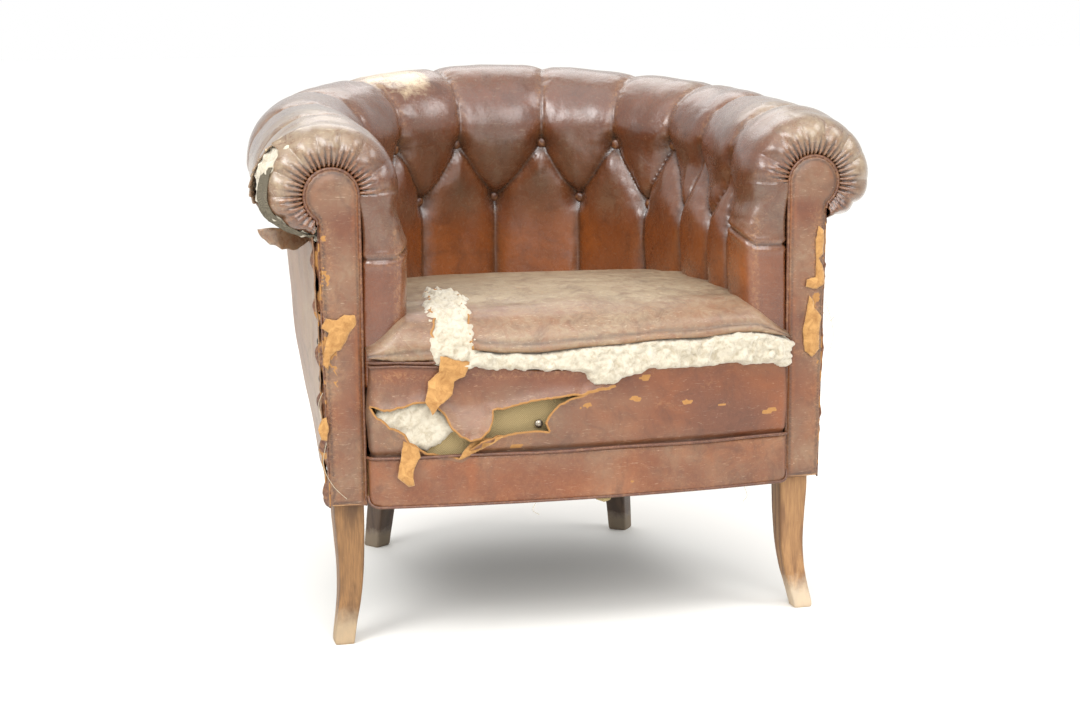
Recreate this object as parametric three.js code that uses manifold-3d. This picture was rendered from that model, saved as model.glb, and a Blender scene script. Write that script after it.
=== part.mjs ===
// A worn club chair: a low tub armchair with a rolled, deep-buttoned back and arms, a sprung seat and
// four short legs, all covered in leather over a hardwood frame. Units are millimetres, +Z is up, -Y is
// the front, and the origin is on the floor under the middle of the chair's bounding box.
import * as THREE from "three";
import { mergeVertices } from "three/addons/utils/BufferGeometryUtils.js";
import Module from "manifold-3d";

const wasm = await Module();
wasm.setup();

// ---------------------------------------------------------------- driving dimensions
const FACING_FRONT_Y = -297.27; // front plane of the two facings, which every depth below is measured from
const GAP = 0.4; // clearance left between two pieces that touch
const LEATHER = 2.4; // thickness of the hide

// The roll's centre line in plan: two nearly straight arms joined by half an ellipse round the back.
const ROLL_X_FRONT = 316;
const ROLL_X_SIDE = 312;
const ROLL_STRAIGHT = 240; // the arms run straight for this long behind the facings
const ROLL_BACK_REACH = 300;
const ROLL_Z_FRONT = 577;
const ROLL_Z_BACK = 629.5;
const ROLL_R = { front: 82, corner: 78.5, back: 86.5 };
const ROLL_TUCK = 0.62; // the roll's lower outer quarter is this share of its radius tall
const BULLNOSE_START = 19.6; // where the covering begins behind the facing's front plane
const BULLNOSE_DEPTH = 36; // how deep the rounded front end of each arm is
const BULLNOSE_R = 36; // radius of the stuffing where it meets the facing's head
const PAD_FRONT = 37; // the inside pad's offset from the centre line where it meets the facing
const PAD = { front: 92, corner: 102, back: 46 }; // the same along the arms and at the middle of the back
const PAD_BACK_FACE = 38; // hidden face of the pad, offset inwards from the centre line
const PAD_BOTTOM_Z = 334;
const TUNNEL_R = 32; // the stuffing is hollow to this radius round the top rails

// The outside panel, as offsets outwards from the roll's centre line.
const OUTSIDE_TOP = { front: 18, corner: 34, back: 40 };
const OUTSIDE_MIDDLE = { front: 15, corner: 22, back: 26 };
const OUTSIDE_BOTTOM = { front: 10, corner: -8, back: 0 };
const SKIRT_Z = 182; // bottom edge of all the leather

// Front posts, facings and legs.
const HEAD_X = 316;
const HEAD_Z = 576;
const HEAD_R = 34;
const STEM_INNER = 281;
const STEM_OUTER_LOW = 327;
const STEM_OUTER_HIGH = 334;
const FACING_BOARD_DEPTH = 16;
const POST_DEPTH = 36;

// Seat frame.
const RAIL_LOW_Z = 189;
const RAIL_HIGH_Z = 248;
const RAIL_THICK = 27;
const BOW = 30; // how far the front border bows out in front of the facings
const BOW_END = 10; // the same at its two ends
const FRONT_HALF_WIDTH = 277; // between the facings

// Seat.
const SEAT_LIP_Z = 353;
const BAND_TOP_Z = 240;
const SEAT_CROWN_Z = 428;
const SPRING_TOP_Z = 326;

const BUTTON_R = 8;
const BUTTON_STANDOFF = 2;

// ---------------------------------------------------------------- solids and booleans
const colours = { leather: 0x7a4630, wood: 0x8b5e3c, beech: 0xc79f6d, hessian: 0xb9a27a, hair: 0x6d5a44,
  cotton: 0xeae4d2, steel: 0x8b8d90, jute: 0xa98b5d };
const finishes = {
  leather: new THREE.MeshStandardMaterial({ color: colours.leather, roughness: 0.42, metalness: 0 }),
  wood: new THREE.MeshStandardMaterial({ color: colours.wood, roughness: 0.55, metalness: 0 }),
  beech: new THREE.MeshStandardMaterial({ color: colours.beech, roughness: 0.75, metalness: 0 }),
  hessian: new THREE.MeshStandardMaterial({ color: colours.hessian, roughness: 0.95, metalness: 0 }),
  hair: new THREE.MeshStandardMaterial({ color: colours.hair, roughness: 1, metalness: 0 }),
  cotton: new THREE.MeshStandardMaterial({ color: colours.cotton, roughness: 1, metalness: 0 }),
  steel: new THREE.MeshStandardMaterial({ color: colours.steel, roughness: 0.4, metalness: 1 }),
  jute: new THREE.MeshStandardMaterial({ color: colours.jute, roughness: 0.95, metalness: 0 }),
};

const chair = new THREE.Group();

function addPiece(name, geometry, finish) {
  const mesh = new THREE.Mesh(geometry, finishes[finish]);
  mesh.name = name;
  chair.add(mesh);
  return mesh;
}

function toSolid(geometry) {
  const bare = geometry.index ? geometry.toNonIndexed() : geometry.clone();
  const merged = mergeVertices(new THREE.BufferGeometry().setAttribute("position", bare.attributes.position), 1e-3);
  return new wasm.Manifold(
    new wasm.Mesh({
      numProp: 3,
      vertProperties: merged.attributes.position.array,
      triVerts: new Uint32Array(merged.index.array),
    }),
  );
}

function toGeometry(solid) {
  const mesh = solid.getMesh();
  const geometry = new THREE.BufferGeometry();
  geometry.setAttribute("position", new THREE.BufferAttribute(mesh.vertProperties, 3));
  geometry.setIndex(new THREE.BufferAttribute(mesh.triVerts, 1));
  return geometry;
}

function cut(geometry, ...tools) {
  return toGeometry(tools.reduce((solid, tool) => solid.subtract(toSolid(tool)), toSolid(geometry)));
}

function join(geometry, ...others) {
  return toGeometry(others.reduce((solid, other) => solid.add(toSolid(other)), toSolid(geometry)));
}

// Skins a row of rings, each a closed loop of as many points, and closes both ends. From the point turnedFrom on, each
// square is split along its other diagonal, so that the two faces of a thin skin stay parallel.
function loft(rings, turnedFrom = Infinity) {
  const count = rings[0].length;
  const positions = rings.flat().flatMap((p) => [p.x, p.y, p.z]);
  const index = [];
  for (let i = 0; i < rings.length - 1; i++) {
    for (let j = 0; j < count; j++) {
      const a = i * count + j;
      const b = i * count + ((j + 1) % count);
      const split = j < turnedFrom ? [a, b, a + count, b, b + count, a + count] : [a, b, b + count, a, b + count, a + count];
      index.push(...split);
    }
  }
  for (const [ring, flip] of [[0, false], [rings.length - 1, true]]) {
    for (const [a, b, c] of capTriangles(rings[ring])) {
      const face = [a, b, c].map((k) => ring * count + k);
      index.push(...(flip ? face : face.reverse()));
    }
  }
  const geometry = new THREE.BufferGeometry();
  geometry.setAttribute("position", new THREE.Float32BufferAttribute(positions, 3));
  geometry.setIndex(index);
  return toSolid(geometry).volume() < 0 ? turnedInsideOut(geometry) : geometry;
}

// Triangles that fill one flat ring, worked out in the ring's own plane.
function capTriangles(ring) {
  const normal = new THREE.Vector3();
  ring.forEach((p, i) => normal.add(new THREE.Vector3().crossVectors(p, ring[(i + 1) % ring.length])));
  normal.normalize();
  const along = new THREE.Vector3().subVectors(ring[1], ring[0]).normalize();
  const across = new THREE.Vector3().crossVectors(normal, along);
  const flat = ring.map((p) => new THREE.Vector2(p.dot(along), p.dot(across)));
  return THREE.ShapeUtils.triangulateShape(flat, []);
}

function turnedInsideOut(geometry) {
  const old = geometry.index.array;
  const turned = [];
  for (let i = 0; i < old.length; i += 3) turned.push(old[i], old[i + 2], old[i + 1]);
  geometry.setIndex(turned);
  return geometry;
}

// A flat shape drawn in X and Z, pushed back along +Y from yFront.
function boardFacingFront(shape, yFront, depth) {
  const geometry = new THREE.ExtrudeGeometry(shape, { depth, bevelEnabled: false, curveSegments: 10 });
  geometry.rotateX(Math.PI / 2);
  geometry.translate(0, yFront + depth, 0);
  return geometry;
}

// A flat shape drawn in X and Y, raised from zLow to zHigh.
function sheetLying(shape, zLow, zHigh) {
  const geometry = new THREE.ExtrudeGeometry(shape, { depth: zHigh - zLow, bevelEnabled: false, curveSegments: 8 });
  geometry.translate(0, 0, zLow);
  return geometry;
}

function upright(radius, zLow, zHigh, x, y, sides = 16) {
  const geometry = new THREE.CylinderGeometry(radius, radius, zHigh - zLow, sides);
  geometry.rotateX(Math.PI / 2);
  geometry.translate(x, y, (zLow + zHigh) / 2);
  return geometry;
}

// ---------------------------------------------------------------- the roll's centre line
// The line from the right facing round the back to the left one, measured along its own length.
const centreLine = (() => {
  const steps = 720;
  const points = [new THREE.Vector2(ROLL_X_FRONT, 0)];
  for (let i = 0; i <= steps; i++) {
    const angle = (Math.PI * i) / steps;
    points.push(new THREE.Vector2(ROLL_X_SIDE * Math.cos(angle), ROLL_STRAIGHT + ROLL_BACK_REACH * Math.sin(angle)));
  }
  points.push(new THREE.Vector2(-ROLL_X_FRONT, 0));
  const lengths = [0];
  for (let i = 1; i < points.length; i++) lengths.push(lengths[i - 1] + points[i].distanceTo(points[i - 1]));
  return { points, lengths, total: lengths[lengths.length - 1] };
})();
const HALF_LENGTH = centreLine.total / 2;

function pointAlong(distance) {
  const { points, lengths } = centreLine;
  let i = lengths.findIndex((l) => l >= distance);
  i = Math.max(1, i < 0 ? lengths.length - 1 : i);
  const share = (distance - lengths[i - 1]) / (lengths[i] - lengths[i - 1]);
  return points[i - 1].clone().lerp(points[i], share);
}

function smooth(t) {
  const x = Math.min(1, Math.max(0, t));
  return x * x * (3 - 2 * x);
}

// Blends a value given at the facing, at the back corner and at the middle of the back.
function roundTub(values, fromFront) {
  const corner = ROLL_STRAIGHT + 20;
  return fromFront < corner
    ? values.front + (values.corner - values.front) * smooth(fromFront / corner)
    : values.corner + (values.back - values.corner) * smooth((fromFront - corner) / (HALF_LENGTH - corner));
}

// Everything that the tub's section needs at one place along the centre line.
function station(distance) {
  const fromFront = Math.min(distance, centreLine.total - distance);
  const here = pointAlong(distance);
  const tangent = pointAlong(Math.min(distance + 4, centreLine.total)).sub(pointAlong(Math.max(distance - 4, 0))).normalize();
  const outwards = new THREE.Vector2(tangent.y, -tangent.x);
  const rise = 1 - (1 - fromFront / HALF_LENGTH) ** 1.35;
  const behind = Math.min(1, Math.max(0, (fromFront - BULLNOSE_START) / BULLNOSE_DEPTH));
  const bullnose = Math.sqrt(1 - (1 - behind) ** 2);
  return {
    here,
    outwards,
    fromFront,
    z: ROLL_Z_FRONT + (ROLL_Z_BACK - ROLL_Z_FRONT) * rise,
    r: BULLNOSE_R + (roundTub(ROLL_R, fromFront) - BULLNOSE_R) * bullnose,
    pad: PAD_FRONT + (roundTub(PAD, fromFront) - PAD_FRONT) * bullnose,
    tuckShare: 1 + (ROLL_TUCK - 1) * bullnose,
    outsideTop: roundTub(OUTSIDE_TOP, fromFront),
    outsideMiddle: roundTub(OUTSIDE_MIDDLE, fromFront),
    outsideBottom: roundTub(OUTSIDE_BOTTOM, fromFront),
  };
}

// Turns an offset outwards from the centre line and a height into a point of the chair.
function place(at, offset, z) {
  return new THREE.Vector3(
    at.here.x + at.outwards.x * offset,
    at.here.y + at.outwards.y * offset + FACING_FRONT_Y,
    z,
  );
}

function degrees(angle) {
  return (angle * Math.PI) / 180;
}

// The angle under the roll at which its lower outer quarter meets the outside panel.
function tuckAngle(at) {
  return Math.acos(Math.min(0.98, (at.outsideTop + 3) / at.r));
}

// The line that the covering follows, from the seat up the inside, over the roll and under it, grown outwards.
function coverLine(at, grow) {
  const line = [];
  const r = at.r + grow;
  const pad = at.pad + grow;
  const shoulder = Math.min(0.62 * at.r, at.z - PAD_BOTTOM_Z - 60);
  line.push([-pad, PAD_BOTTOM_Z], [-pad, (PAD_BOTTOM_Z + at.z - shoulder) / 2], [-pad, at.z - shoulder]);
  line.push([-(pad + r * 1.04) / 2, at.z - shoulder * 0.5]);
  for (let a = 180; a >= 0; a -= 22.5) line.push([r * Math.cos(degrees(a)), at.z + r * Math.sin(degrees(a))]);
  const tuck = tuckAngle(at);
  for (const share of [0.35, 0.7, 1]) {
    line.push([r * Math.cos(tuck * share), at.z - at.tuckShare * r * Math.sin(tuck * share)]);
  }
  return line;
}

// ---------------------------------------------------------------- tub: stuffing, buttoned cover, outside panel
function stationsBetween(from, to, step) {
  const count = Math.max(1, Math.round((to - from) / step));
  return Array.from({ length: count + 1 }, (_, i) => from + ((to - from) * i) / count);
}

const BULLNOSE_STEPS = [0, 2, 7, 16, 36].map((back) => BULLNOSE_START + back);
const ARM_END = 400; // distance from the facing at which the arm's stuffing meets the back's
const HALF_STATIONS = [...BULLNOSE_STEPS, ...stationsBetween(BULLNOSE_STEPS[4], ARM_END, 70).slice(1)];
const BACK_STATIONS = stationsBetween(ARM_END, centreLine.total - ARM_END, 56);
const mirrored = (stations) => stations.map((d) => centreLine.total - d).reverse();

function stuffingRing(distance) {
  const at = station(distance);
  const ring = coverLine(at, 0).map(([offset, z]) => place(at, offset, z));
  for (let a = -40; a <= 180; a += 27.5) {
    ring.push(place(at, TUNNEL_R * Math.cos(degrees(a)), at.z + TUNNEL_R * Math.sin(degrees(a))));
  }
  ring.push(place(at, -Math.min(PAD_BACK_FACE, at.pad - 3), PAD_BOTTOM_Z));
  return ring;
}

function backStuffingRing(distance) {
  const at = station(distance);
  const ring = coverLine(at, 0).map(([offset, z]) => place(at, offset, z));
  const face = Math.min(PAD_BACK_FACE, at.pad - 34);
  for (let a = -40; a <= 122; a += 27) {
    ring.push(place(at, TUNNEL_R * Math.cos(degrees(a)), at.z + TUNNEL_R * Math.sin(degrees(a))));
  }
  ring.push(place(at, -TUNNEL_R, at.z), place(at, -face, at.z - 60), place(at, -face, PAD_BOTTOM_Z));
  return ring;
}

function leatherRing(distance) {
  const at = station(distance);
  const outer = coverLine(at, GAP + LEATHER).map(([offset, z]) => place(at, offset, z));
  const inner = coverLine(at, GAP).map(([offset, z]) => place(at, offset, z));
  return [...outer, ...inner.reverse()];
}

function outsideRing(distance) {
  const at = station(distance);
  const topZ = at.z - at.tuckShare * at.r * Math.sin(tuckAngle(at)) - GAP - 6;
  const line = [[at.outsideTop, topZ], [at.outsideMiddle, SKIRT_Z + 0.55 * (topZ - SKIRT_Z)], [at.outsideBottom, SKIRT_Z]];
  const inner = line.map(([offset, z]) => [offset - LEATHER, z]).reverse();
  return [...line, ...inner].map(([offset, z]) => place(at, offset, z));
}

const armCut = 0.6;
addPiece("arm_stuffing_right", loft(HALF_STATIONS.map((d) => stuffingRing(Math.min(d, ARM_END - armCut)))), "hair");
addPiece("arm_stuffing_left", loft(mirrored(HALF_STATIONS).map((d) => stuffingRing(Math.max(d, centreLine.total - ARM_END + armCut)))), "hair");
addPiece("back_stuffing", loft(BACK_STATIONS.map(backStuffingRing)), "hair");

const ALL_STATIONS = [...HALF_STATIONS, ...BACK_STATIONS.slice(1, -1), ...mirrored(HALF_STATIONS)];
const COVER_POINTS = coverLine(station(HALF_LENGTH), 0).length;
addPiece("tub_cover", loft(ALL_STATIONS.map(leatherRing), COVER_POINTS), "leather");

const OUTSIDE_START = BULLNOSE_START;
const OUTSIDE_STATIONS = stationsBetween(OUTSIDE_START, centreLine.total - OUTSIDE_START, 52);
addPiece("outside_cover", loft(OUTSIDE_STATIONS.map(outsideRing), 3), "leather");

// ---------------------------------------------------------------- buttons
// Two rows: ten above and eleven below, staggered half a space, counted from the middle of the back.
const UPPER_ROW = { z: 601, places: [82, 225, 355, 478, 612] };
const LOWER_ROW = { z: 519, places: [0, 145, 300, 465, 569, 637] };

// Where the covering's inside face is at one height, and how far it leans back there.
function coverAt(at, z) {
  const line = coverLine(at, GAP + LEATHER);
  const above = line.findIndex(([, height]) => height > z);
  const [[lowOffset, lowZ], [highOffset, highZ]] = [line[above - 1], line[above]];
  const lean = (highOffset - lowOffset) / (highZ - lowZ);
  return { offset: lowOffset + lean * (z - lowZ), lean };
}

function buttonAt(name, along, z) {
  const at = station(HALF_LENGTH + along);
  const profile = [[0, 0], [BUTTON_R, 1.2], [BUTTON_R * 0.72, 4.4], [0, 5.4]];
  const geometry = new THREE.LatheGeometry(profile.map(([r, h]) => new THREE.Vector2(r, h)), 8);
  const face = coverAt(at, z);
  const inwards = new THREE.Vector3(-at.outwards.x, -at.outwards.y, face.lean).normalize();
  geometry.applyQuaternion(new THREE.Quaternion().setFromUnitVectors(new THREE.Vector3(0, 1, 0), inwards));
  const button = addPiece(name, geometry, "leather");
  button.position.copy(place(at, face.offset, z)).addScaledVector(inwards, BUTTON_STANDOFF);
}

function buttonRow(label, row) {
  row.places.forEach((along, i) => {
    const sides = along === 0 ? [1] : [1, -1];
    for (const side of sides) {
      const which = along === 0 ? "middle" : `${side > 0 ? "left" : "right"}_${i + (row.places[0] === 0 ? 0 : 1)}`;
      buttonAt(`button_${label}_${which}`, side * along, row.z);
    }
  });
}
buttonRow("upper", UPPER_ROW);
buttonRow("lower", LOWER_ROW);

// ---------------------------------------------------------------- facings and front posts
// The keyhole outline of a facing: a straight stem under a round head that overhangs outwards.
function keyhole(side, shrink, zLow) {
  const r = HEAD_R - shrink;
  const inner = STEM_INNER + shrink;
  const outerHigh = STEM_OUTER_HIGH - shrink;
  const shape = new THREE.Shape();
  const notch = Math.acos((outerHigh - HEAD_X) / r);
  const points = [[inner, zLow], [STEM_OUTER_LOW - shrink, zLow]];
  const steps = 14;
  const sweep = Math.PI + notch - degrees(8);
  for (let i = 0; i <= steps; i++) {
    const angle = -notch + (sweep * i) / steps;
    points.push([HEAD_X + r * Math.cos(angle), HEAD_Z + r * Math.sin(angle)]);
  }
  const drawn = points.map(([x, z]) => new THREE.Vector2(side * x, z));
  shape.setFromPoints(drawn);
  return shape;
}

const BOARD_BACK = FACING_FRONT_Y + LEATHER + GAP + FACING_BOARD_DEPTH;
const POST_FRONT = BOARD_BACK + GAP;
for (const [side, word] of [[-1, "left"], [1, "right"]]) {
  const shell = boardFacingFront(keyhole(side, 0, SKIRT_Z), FACING_FRONT_Y, LEATHER + GAP + FACING_BOARD_DEPTH);
  const inside = boardFacingFront(keyhole(side, LEATHER, SKIRT_Z + LEATHER), FACING_FRONT_Y + LEATHER, 30);
  addPiece(`facing_cover_${word}`, cut(shell, inside), "leather");
  const board = keyhole(side, LEATHER + GAP, SKIRT_Z + LEATHER + GAP);
  addPiece(`facing_board_${word}`, boardFacingFront(board, FACING_FRONT_Y + LEATHER + GAP, FACING_BOARD_DEPTH), "beech");
}

const LEG_TOP_Z = RAIL_LOW_Z - GAP;
const TENON_R = 10;
const TENON_LENGTH = 40;
const FRONT_LEG = { x: 300.5, y: FACING_FRONT_Y + 40.5 };
function frontPost(side) {
  const post = boardFacingFront(keyhole(side, 7.5, RAIL_LOW_Z), POST_FRONT, POST_DEPTH);
  const socket = upright(TENON_R + GAP, RAIL_LOW_Z - 5, RAIL_LOW_Z + TENON_LENGTH + 2, side * FRONT_LEG.x, FRONT_LEG.y);
  return cut(post, socket);
}
addPiece("front_post_left", frontPost(-1), "beech");
addPiece("front_post_right", frontPost(1), "beech");

// ---------------------------------------------------------------- legs
// A square section with eased corners, turned about the upright axis.
function legSection(x, y, z, width, depth, turn = 0) {
  const ease = 0.16;
  const corners = [];
  for (const [sx, sy] of [[-1, -1], [1, -1], [1, 1], [-1, 1]]) {
    const first = sx * sy > 0 ? [sx, sy * (1 - 2 * ease)] : [sx * (1 - 2 * ease), sy];
    const second = sx * sy > 0 ? [sx * (1 - 2 * ease), sy] : [sx, sy * (1 - 2 * ease)];
    corners.push(first, second);
  }
  return corners.map(([px, py]) => {
    const a = (px * width) / 2;
    const b = (py * depth) / 2;
    return new THREE.Vector3(x + a * Math.cos(turn) - b * Math.sin(turn), y + a * Math.sin(turn) + b * Math.cos(turn), z);
  });
}

// Sabre-shaped front leg: it tapers, draws in and back below the seat, then kicks out and forward at the foot.
const FRONT_LEG_SECTIONS = [
  // height, outwards, backwards, width, depth
  [0, 11, -18, 24, 25],
  [6, 11, -18, 26, 27],
  [28, 7, -12, 27, 28],
  [55, 2, -7, 29, 30],
  [90, -1, -3, 32, 33],
  [130, -1, -1, 36, 37],
  [165, 0, 0, 39, 40],
  [LEG_TOP_Z, 0, 0, 39, 40],
];
function frontLeg(side) {
  const rings = FRONT_LEG_SECTIONS.map(([z, out, back, width, depth]) =>
    legSection(side * (FRONT_LEG.x + out), FRONT_LEG.y + back, z, width, depth));
  return join(loft(rings), upright(TENON_R, LEG_TOP_Z - 4, LEG_TOP_Z + TENON_LENGTH, side * FRONT_LEG.x, FRONT_LEG.y));
}
addPiece("front_leg_left", frontLeg(-1), "wood");
addPiece("front_leg_right", frontLeg(1), "wood");

// Rear leg: square, straight and tapered, raked outwards on the line of the back corner.
const REAR_TURN = degrees(37);
const REAR_LEG = { x: 168, y: FACING_FRONT_Y + 458, rake: 40, topWidth: 40, footWidth: 29 };
function rearLeg(side) {
  const out = new THREE.Vector2(side * Math.sin(REAR_TURN), Math.cos(REAR_TURN));
  const rings = [0, 5, 95, LEG_TOP_Z].map((z, i) => {
    const down = 1 - z / LEG_TOP_Z;
    const width = REAR_LEG.topWidth + (REAR_LEG.footWidth - REAR_LEG.topWidth) * down - (i === 0 ? 3 : 0);
    return legSection(side * REAR_LEG.x + out.x * REAR_LEG.rake * down, REAR_LEG.y + out.y * REAR_LEG.rake * down,
      z, width, width, -side * REAR_TURN);
  });
  return join(loft(rings), upright(TENON_R, LEG_TOP_Z - 4, LEG_TOP_Z + TENON_LENGTH, side * REAR_LEG.x, REAR_LEG.y));
}
addPiece("rear_leg_left", rearLeg(-1), "wood");
addPiece("rear_leg_right", rearLeg(1), "wood");

// ---------------------------------------------------------------- seat frame
const RAIL_SETBACK = LEATHER + 3; // rails stand this far inside the outside panel
const SIDE_RAIL_START = 58;
const SIDE_RAIL_END = 360;

// A rail that follows the tub's bottom line, from one distance along it to another.
function curvedRail(from, to, thick, zLow, zHigh, step) {
  return loft(stationsBetween(from, to, step).map((distance) => {
    const at = station(distance);
    const share = (RAIL_HIGH_Z - SKIRT_Z) / (at.z - SKIRT_Z);
    const outer = Math.min(at.outsideBottom, at.outsideBottom + (at.outsideTop - at.outsideBottom) * share) - RAIL_SETBACK;
    return [[outer, zLow], [outer, zHigh], [outer - thick, zHigh], [outer - thick, zLow]].map(([o, z]) => place(at, o, z));
  }));
}
addPiece("side_rail_right", curvedRail(SIDE_RAIL_START, SIDE_RAIL_END, RAIL_THICK, RAIL_LOW_Z, RAIL_HIGH_Z, 76), "beech");
addPiece("side_rail_left", curvedRail(centreLine.total - SIDE_RAIL_END, centreLine.total - SIDE_RAIL_START, RAIL_THICK,
  RAIL_LOW_Z, RAIL_HIGH_Z, 76), "beech");
const REAR_SOCKETS = [-1, 1].map((side) =>
  upright(TENON_R + GAP, RAIL_LOW_Z - 5, RAIL_LOW_Z + TENON_LENGTH + 2, side * REAR_LEG.x, REAR_LEG.y));
const BACK_RAIL_THICK = 44;
addPiece("back_rail", cut(
  curvedRail(SIDE_RAIL_END + GAP, centreLine.total - SIDE_RAIL_END - GAP, BACK_RAIL_THICK, RAIL_LOW_Z, RAIL_HIGH_Z, 50),
  ...REAR_SOCKETS), "beech");

// The bowed outline of the front, between the facings: y of the covering's face at each x.
function bowY(x) {
  const share = Math.abs(x) / FRONT_HALF_WIDTH;
  return FACING_FRONT_Y - BOW_END - (BOW - BOW_END) * (1 - share * share);
}

// A closed outline between the facings, bowed in front and rounded at its corners.
function bowedOutline(halfWidth, setback, yBack, corner) {
  const points = [];
  const straight = halfWidth - corner;
  for (let i = 0; i <= 12; i++) {
    const x = -straight + (2 * straight * i) / 12;
    points.push([x, bowY(x) + setback]);
  }
  for (const a of [30, 60, 90]) {
    points.push([straight + corner * Math.sin(degrees(a)), bowY(straight) + setback + corner * (1 - Math.cos(degrees(a)))]);
  }
  points.push([halfWidth, yBack], [-halfWidth, yBack]);
  for (const a of [90, 60, 30]) {
    points.push([-straight - corner * Math.sin(degrees(a)), bowY(straight) + setback + corner * (1 - Math.cos(degrees(a)))]);
  }
  return points.map(([x, y]) => new THREE.Vector2(x, y));
}

const FRONT_CORNER = 14;
const RAIL_FRONT_BACK = FACING_FRONT_Y + 26;
const FRONT_RAIL_END = STEM_INNER + 7.5 - GAP;
const bowedRail = sheetLying(new THREE.Shape(bowedOutline(FRONT_HALF_WIDTH - 4, LEATHER + GAP, RAIL_FRONT_BACK, 12)),
  RAIL_LOW_Z, BAND_TOP_Z - GAP);
const straightRail = new THREE.BoxGeometry(2 * FRONT_RAIL_END, 24, BAND_TOP_Z - GAP - RAIL_LOW_Z);
straightRail.translate(0, POST_FRONT + 14, (BAND_TOP_Z - GAP + RAIL_LOW_Z) / 2);
addPiece("front_rail", join(bowedRail, straightRail), "beech");

// A thin bowed skin across the front, this deep behind the leather's face, with its ends turned back beside the facings.
function bowedSkin(zLow, zHigh, deep, thick) {
  const half = FRONT_HALF_WIDTH - deep;
  const outer = bowedOutline(half, deep, FACING_FRONT_Y + 6 + deep, FRONT_CORNER);
  const inner = bowedOutline(half - thick, deep + thick, FACING_FRONT_Y + 30, FRONT_CORNER - 2);
  return cut(sheetLying(new THREE.Shape(outer), zLow, zHigh), sheetLying(new THREE.Shape(inner), zLow - 5, zHigh + 5));
}
const BORDER_TOP_Z = SEAT_LIP_Z - 2;
const BORDER_WADDING = 7;
addPiece("front_band_cover", bowedSkin(SKIRT_Z, BAND_TOP_Z, 0, LEATHER), "leather");
addPiece("front_border_cover", bowedSkin(BAND_TOP_Z + GAP, BORDER_TOP_Z, 0, LEATHER), "leather");
addPiece("front_border_wadding", bowedSkin(BAND_TOP_Z + GAP, BORDER_TOP_Z, LEATHER + GAP, BORDER_WADDING), "cotton");
addPiece("front_border_canvas", bowedSkin(BAND_TOP_Z + GAP, BORDER_TOP_Z, LEATHER + BORDER_WADDING + 2 * GAP, 1.4), "hessian");

// ---------------------------------------------------------------- uprights and top rails
const ARM_RAIL_START = POST_FRONT + POST_DEPTH - FACING_FRONT_Y + GAP;
const BACK_POST_AT = 470; // distance from the facing at which each back post stands
const BACK_POST_HALF = 19;

function topRail(from, to, step) {
  return loft(stationsBetween(from, to, step).map((distance) => {
    const at = station(distance);
    return [[21, -20], [21, 4], [-21, 4], [-21, -20]].map(([o, dz]) => place(at, o, at.z + dz));
  }));
}
addPiece("arm_rail_right", topRail(ARM_RAIL_START, BACK_POST_AT - 30, 74), "beech");
addPiece("arm_rail_left", topRail(centreLine.total - BACK_POST_AT + 30, centreLine.total - ARM_RAIL_START, 74), "beech");
addPiece("top_back_rail", topRail(BACK_POST_AT - 30 + GAP, centreLine.total - BACK_POST_AT + 30 - GAP, 50), "beech");

// A leaning upright from the back rail to the underside of the top rail.
function backPost(distance) {
  const low = station(distance);
  const rings = [RAIL_HIGH_Z + GAP, low.z - 22.6].map((z, i) => {
    const outer = i === 0 ? low.outsideBottom - RAIL_SETBACK - 2 : 19;
    const along = new THREE.Vector3(-low.outwards.y, low.outwards.x, 0);
    return [[outer, -1], [outer, 1], [outer - 28, 1], [outer - 28, -1]].map(([o, side]) =>
      place(low, o, z).addScaledVector(along, side * BACK_POST_HALF));
  });
  return loft(rings);
}
addPiece("back_post_right", backPost(BACK_POST_AT), "beech");
addPiece("back_post_left", backPost(centreLine.total - BACK_POST_AT), "beech");

// ---------------------------------------------------------------- seat
const NOSE = 3; // the seat overhangs the border by this much
const CROWN_CENTRE_Y = FACING_FRONT_Y + 225;

// Half the room for the seat at one depth: between the facings in front, between the pads behind them.
function seatRoom(y) {
  const behind = y - FACING_FRONT_Y;
  if (behind < BULLNOSE_START - 3) return FRONT_HALF_WIDTH;
  const at = station(Math.max(behind + 9, BULLNOSE_START));
  return at.here.x - at.pad - LEATHER - 3;
}

// Plan of the seat: a bowed nose that fills the space between the facings, then the narrower room between the pads.
// It is drawn smaller all round by shrink, then scaled about the seat's middle.
function seatOutline(shrink, scale = 1) {
  const half = [];
  const winged = shrink < 3; // only the leather fills the corners behind the facings
  const cornerY = bowY(FRONT_HALF_WIDTH * 0.92) - NOSE + shrink;
  const narrowY = Math.max(FACING_FRONT_Y + 20, cornerY + 19);
  const noseHalf = (winged ? FRONT_HALF_WIDTH : seatRoom(narrowY)) - shrink;
  for (const share of [0, 0.23, 0.46, 0.69, 0.92]) {
    half.push([noseHalf * share, bowY(FRONT_HALF_WIDTH * share) - NOSE + shrink]);
  }
  half.push([noseHalf * 0.98, cornerY + 7], [noseHalf, cornerY + 18 - (winged ? 2 * shrink : 0)]);
  [20, 30, 42, 58, 100, 150, 200].forEach((distance, i) => {
    const y = Math.max(FACING_FRONT_Y + distance, narrowY + i * 0.4);
    half.push([seatRoom(y) - shrink, y]);
  });
  for (const distance of [250, 320, 390, 460, 530, 600, 670]) {
    const at = station(distance);
    const p = place(at, -(at.pad + LEATHER + 3 + shrink), 0);
    half.push([p.x, p.y]);
  }
  half.push([0, place(station(HALF_LENGTH), -(PAD.back + LEATHER + 3 + shrink), 0).y]);
  const drawn = half.map(([x, y]) => {
    const scaledY = CROWN_CENTRE_Y + (y - CROWN_CENTRE_Y) * scale;
    const room = scale < 1 && scaledY < FACING_FRONT_Y + 250 ? seatRoom(scaledY) - shrink : Infinity;
    return [Math.min(x * scale, room), scaledY];
  });
  return [...drawn, ...drawn.slice(1, -1).map(([x, y]) => [-x, y]).reverse()];
}

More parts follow.
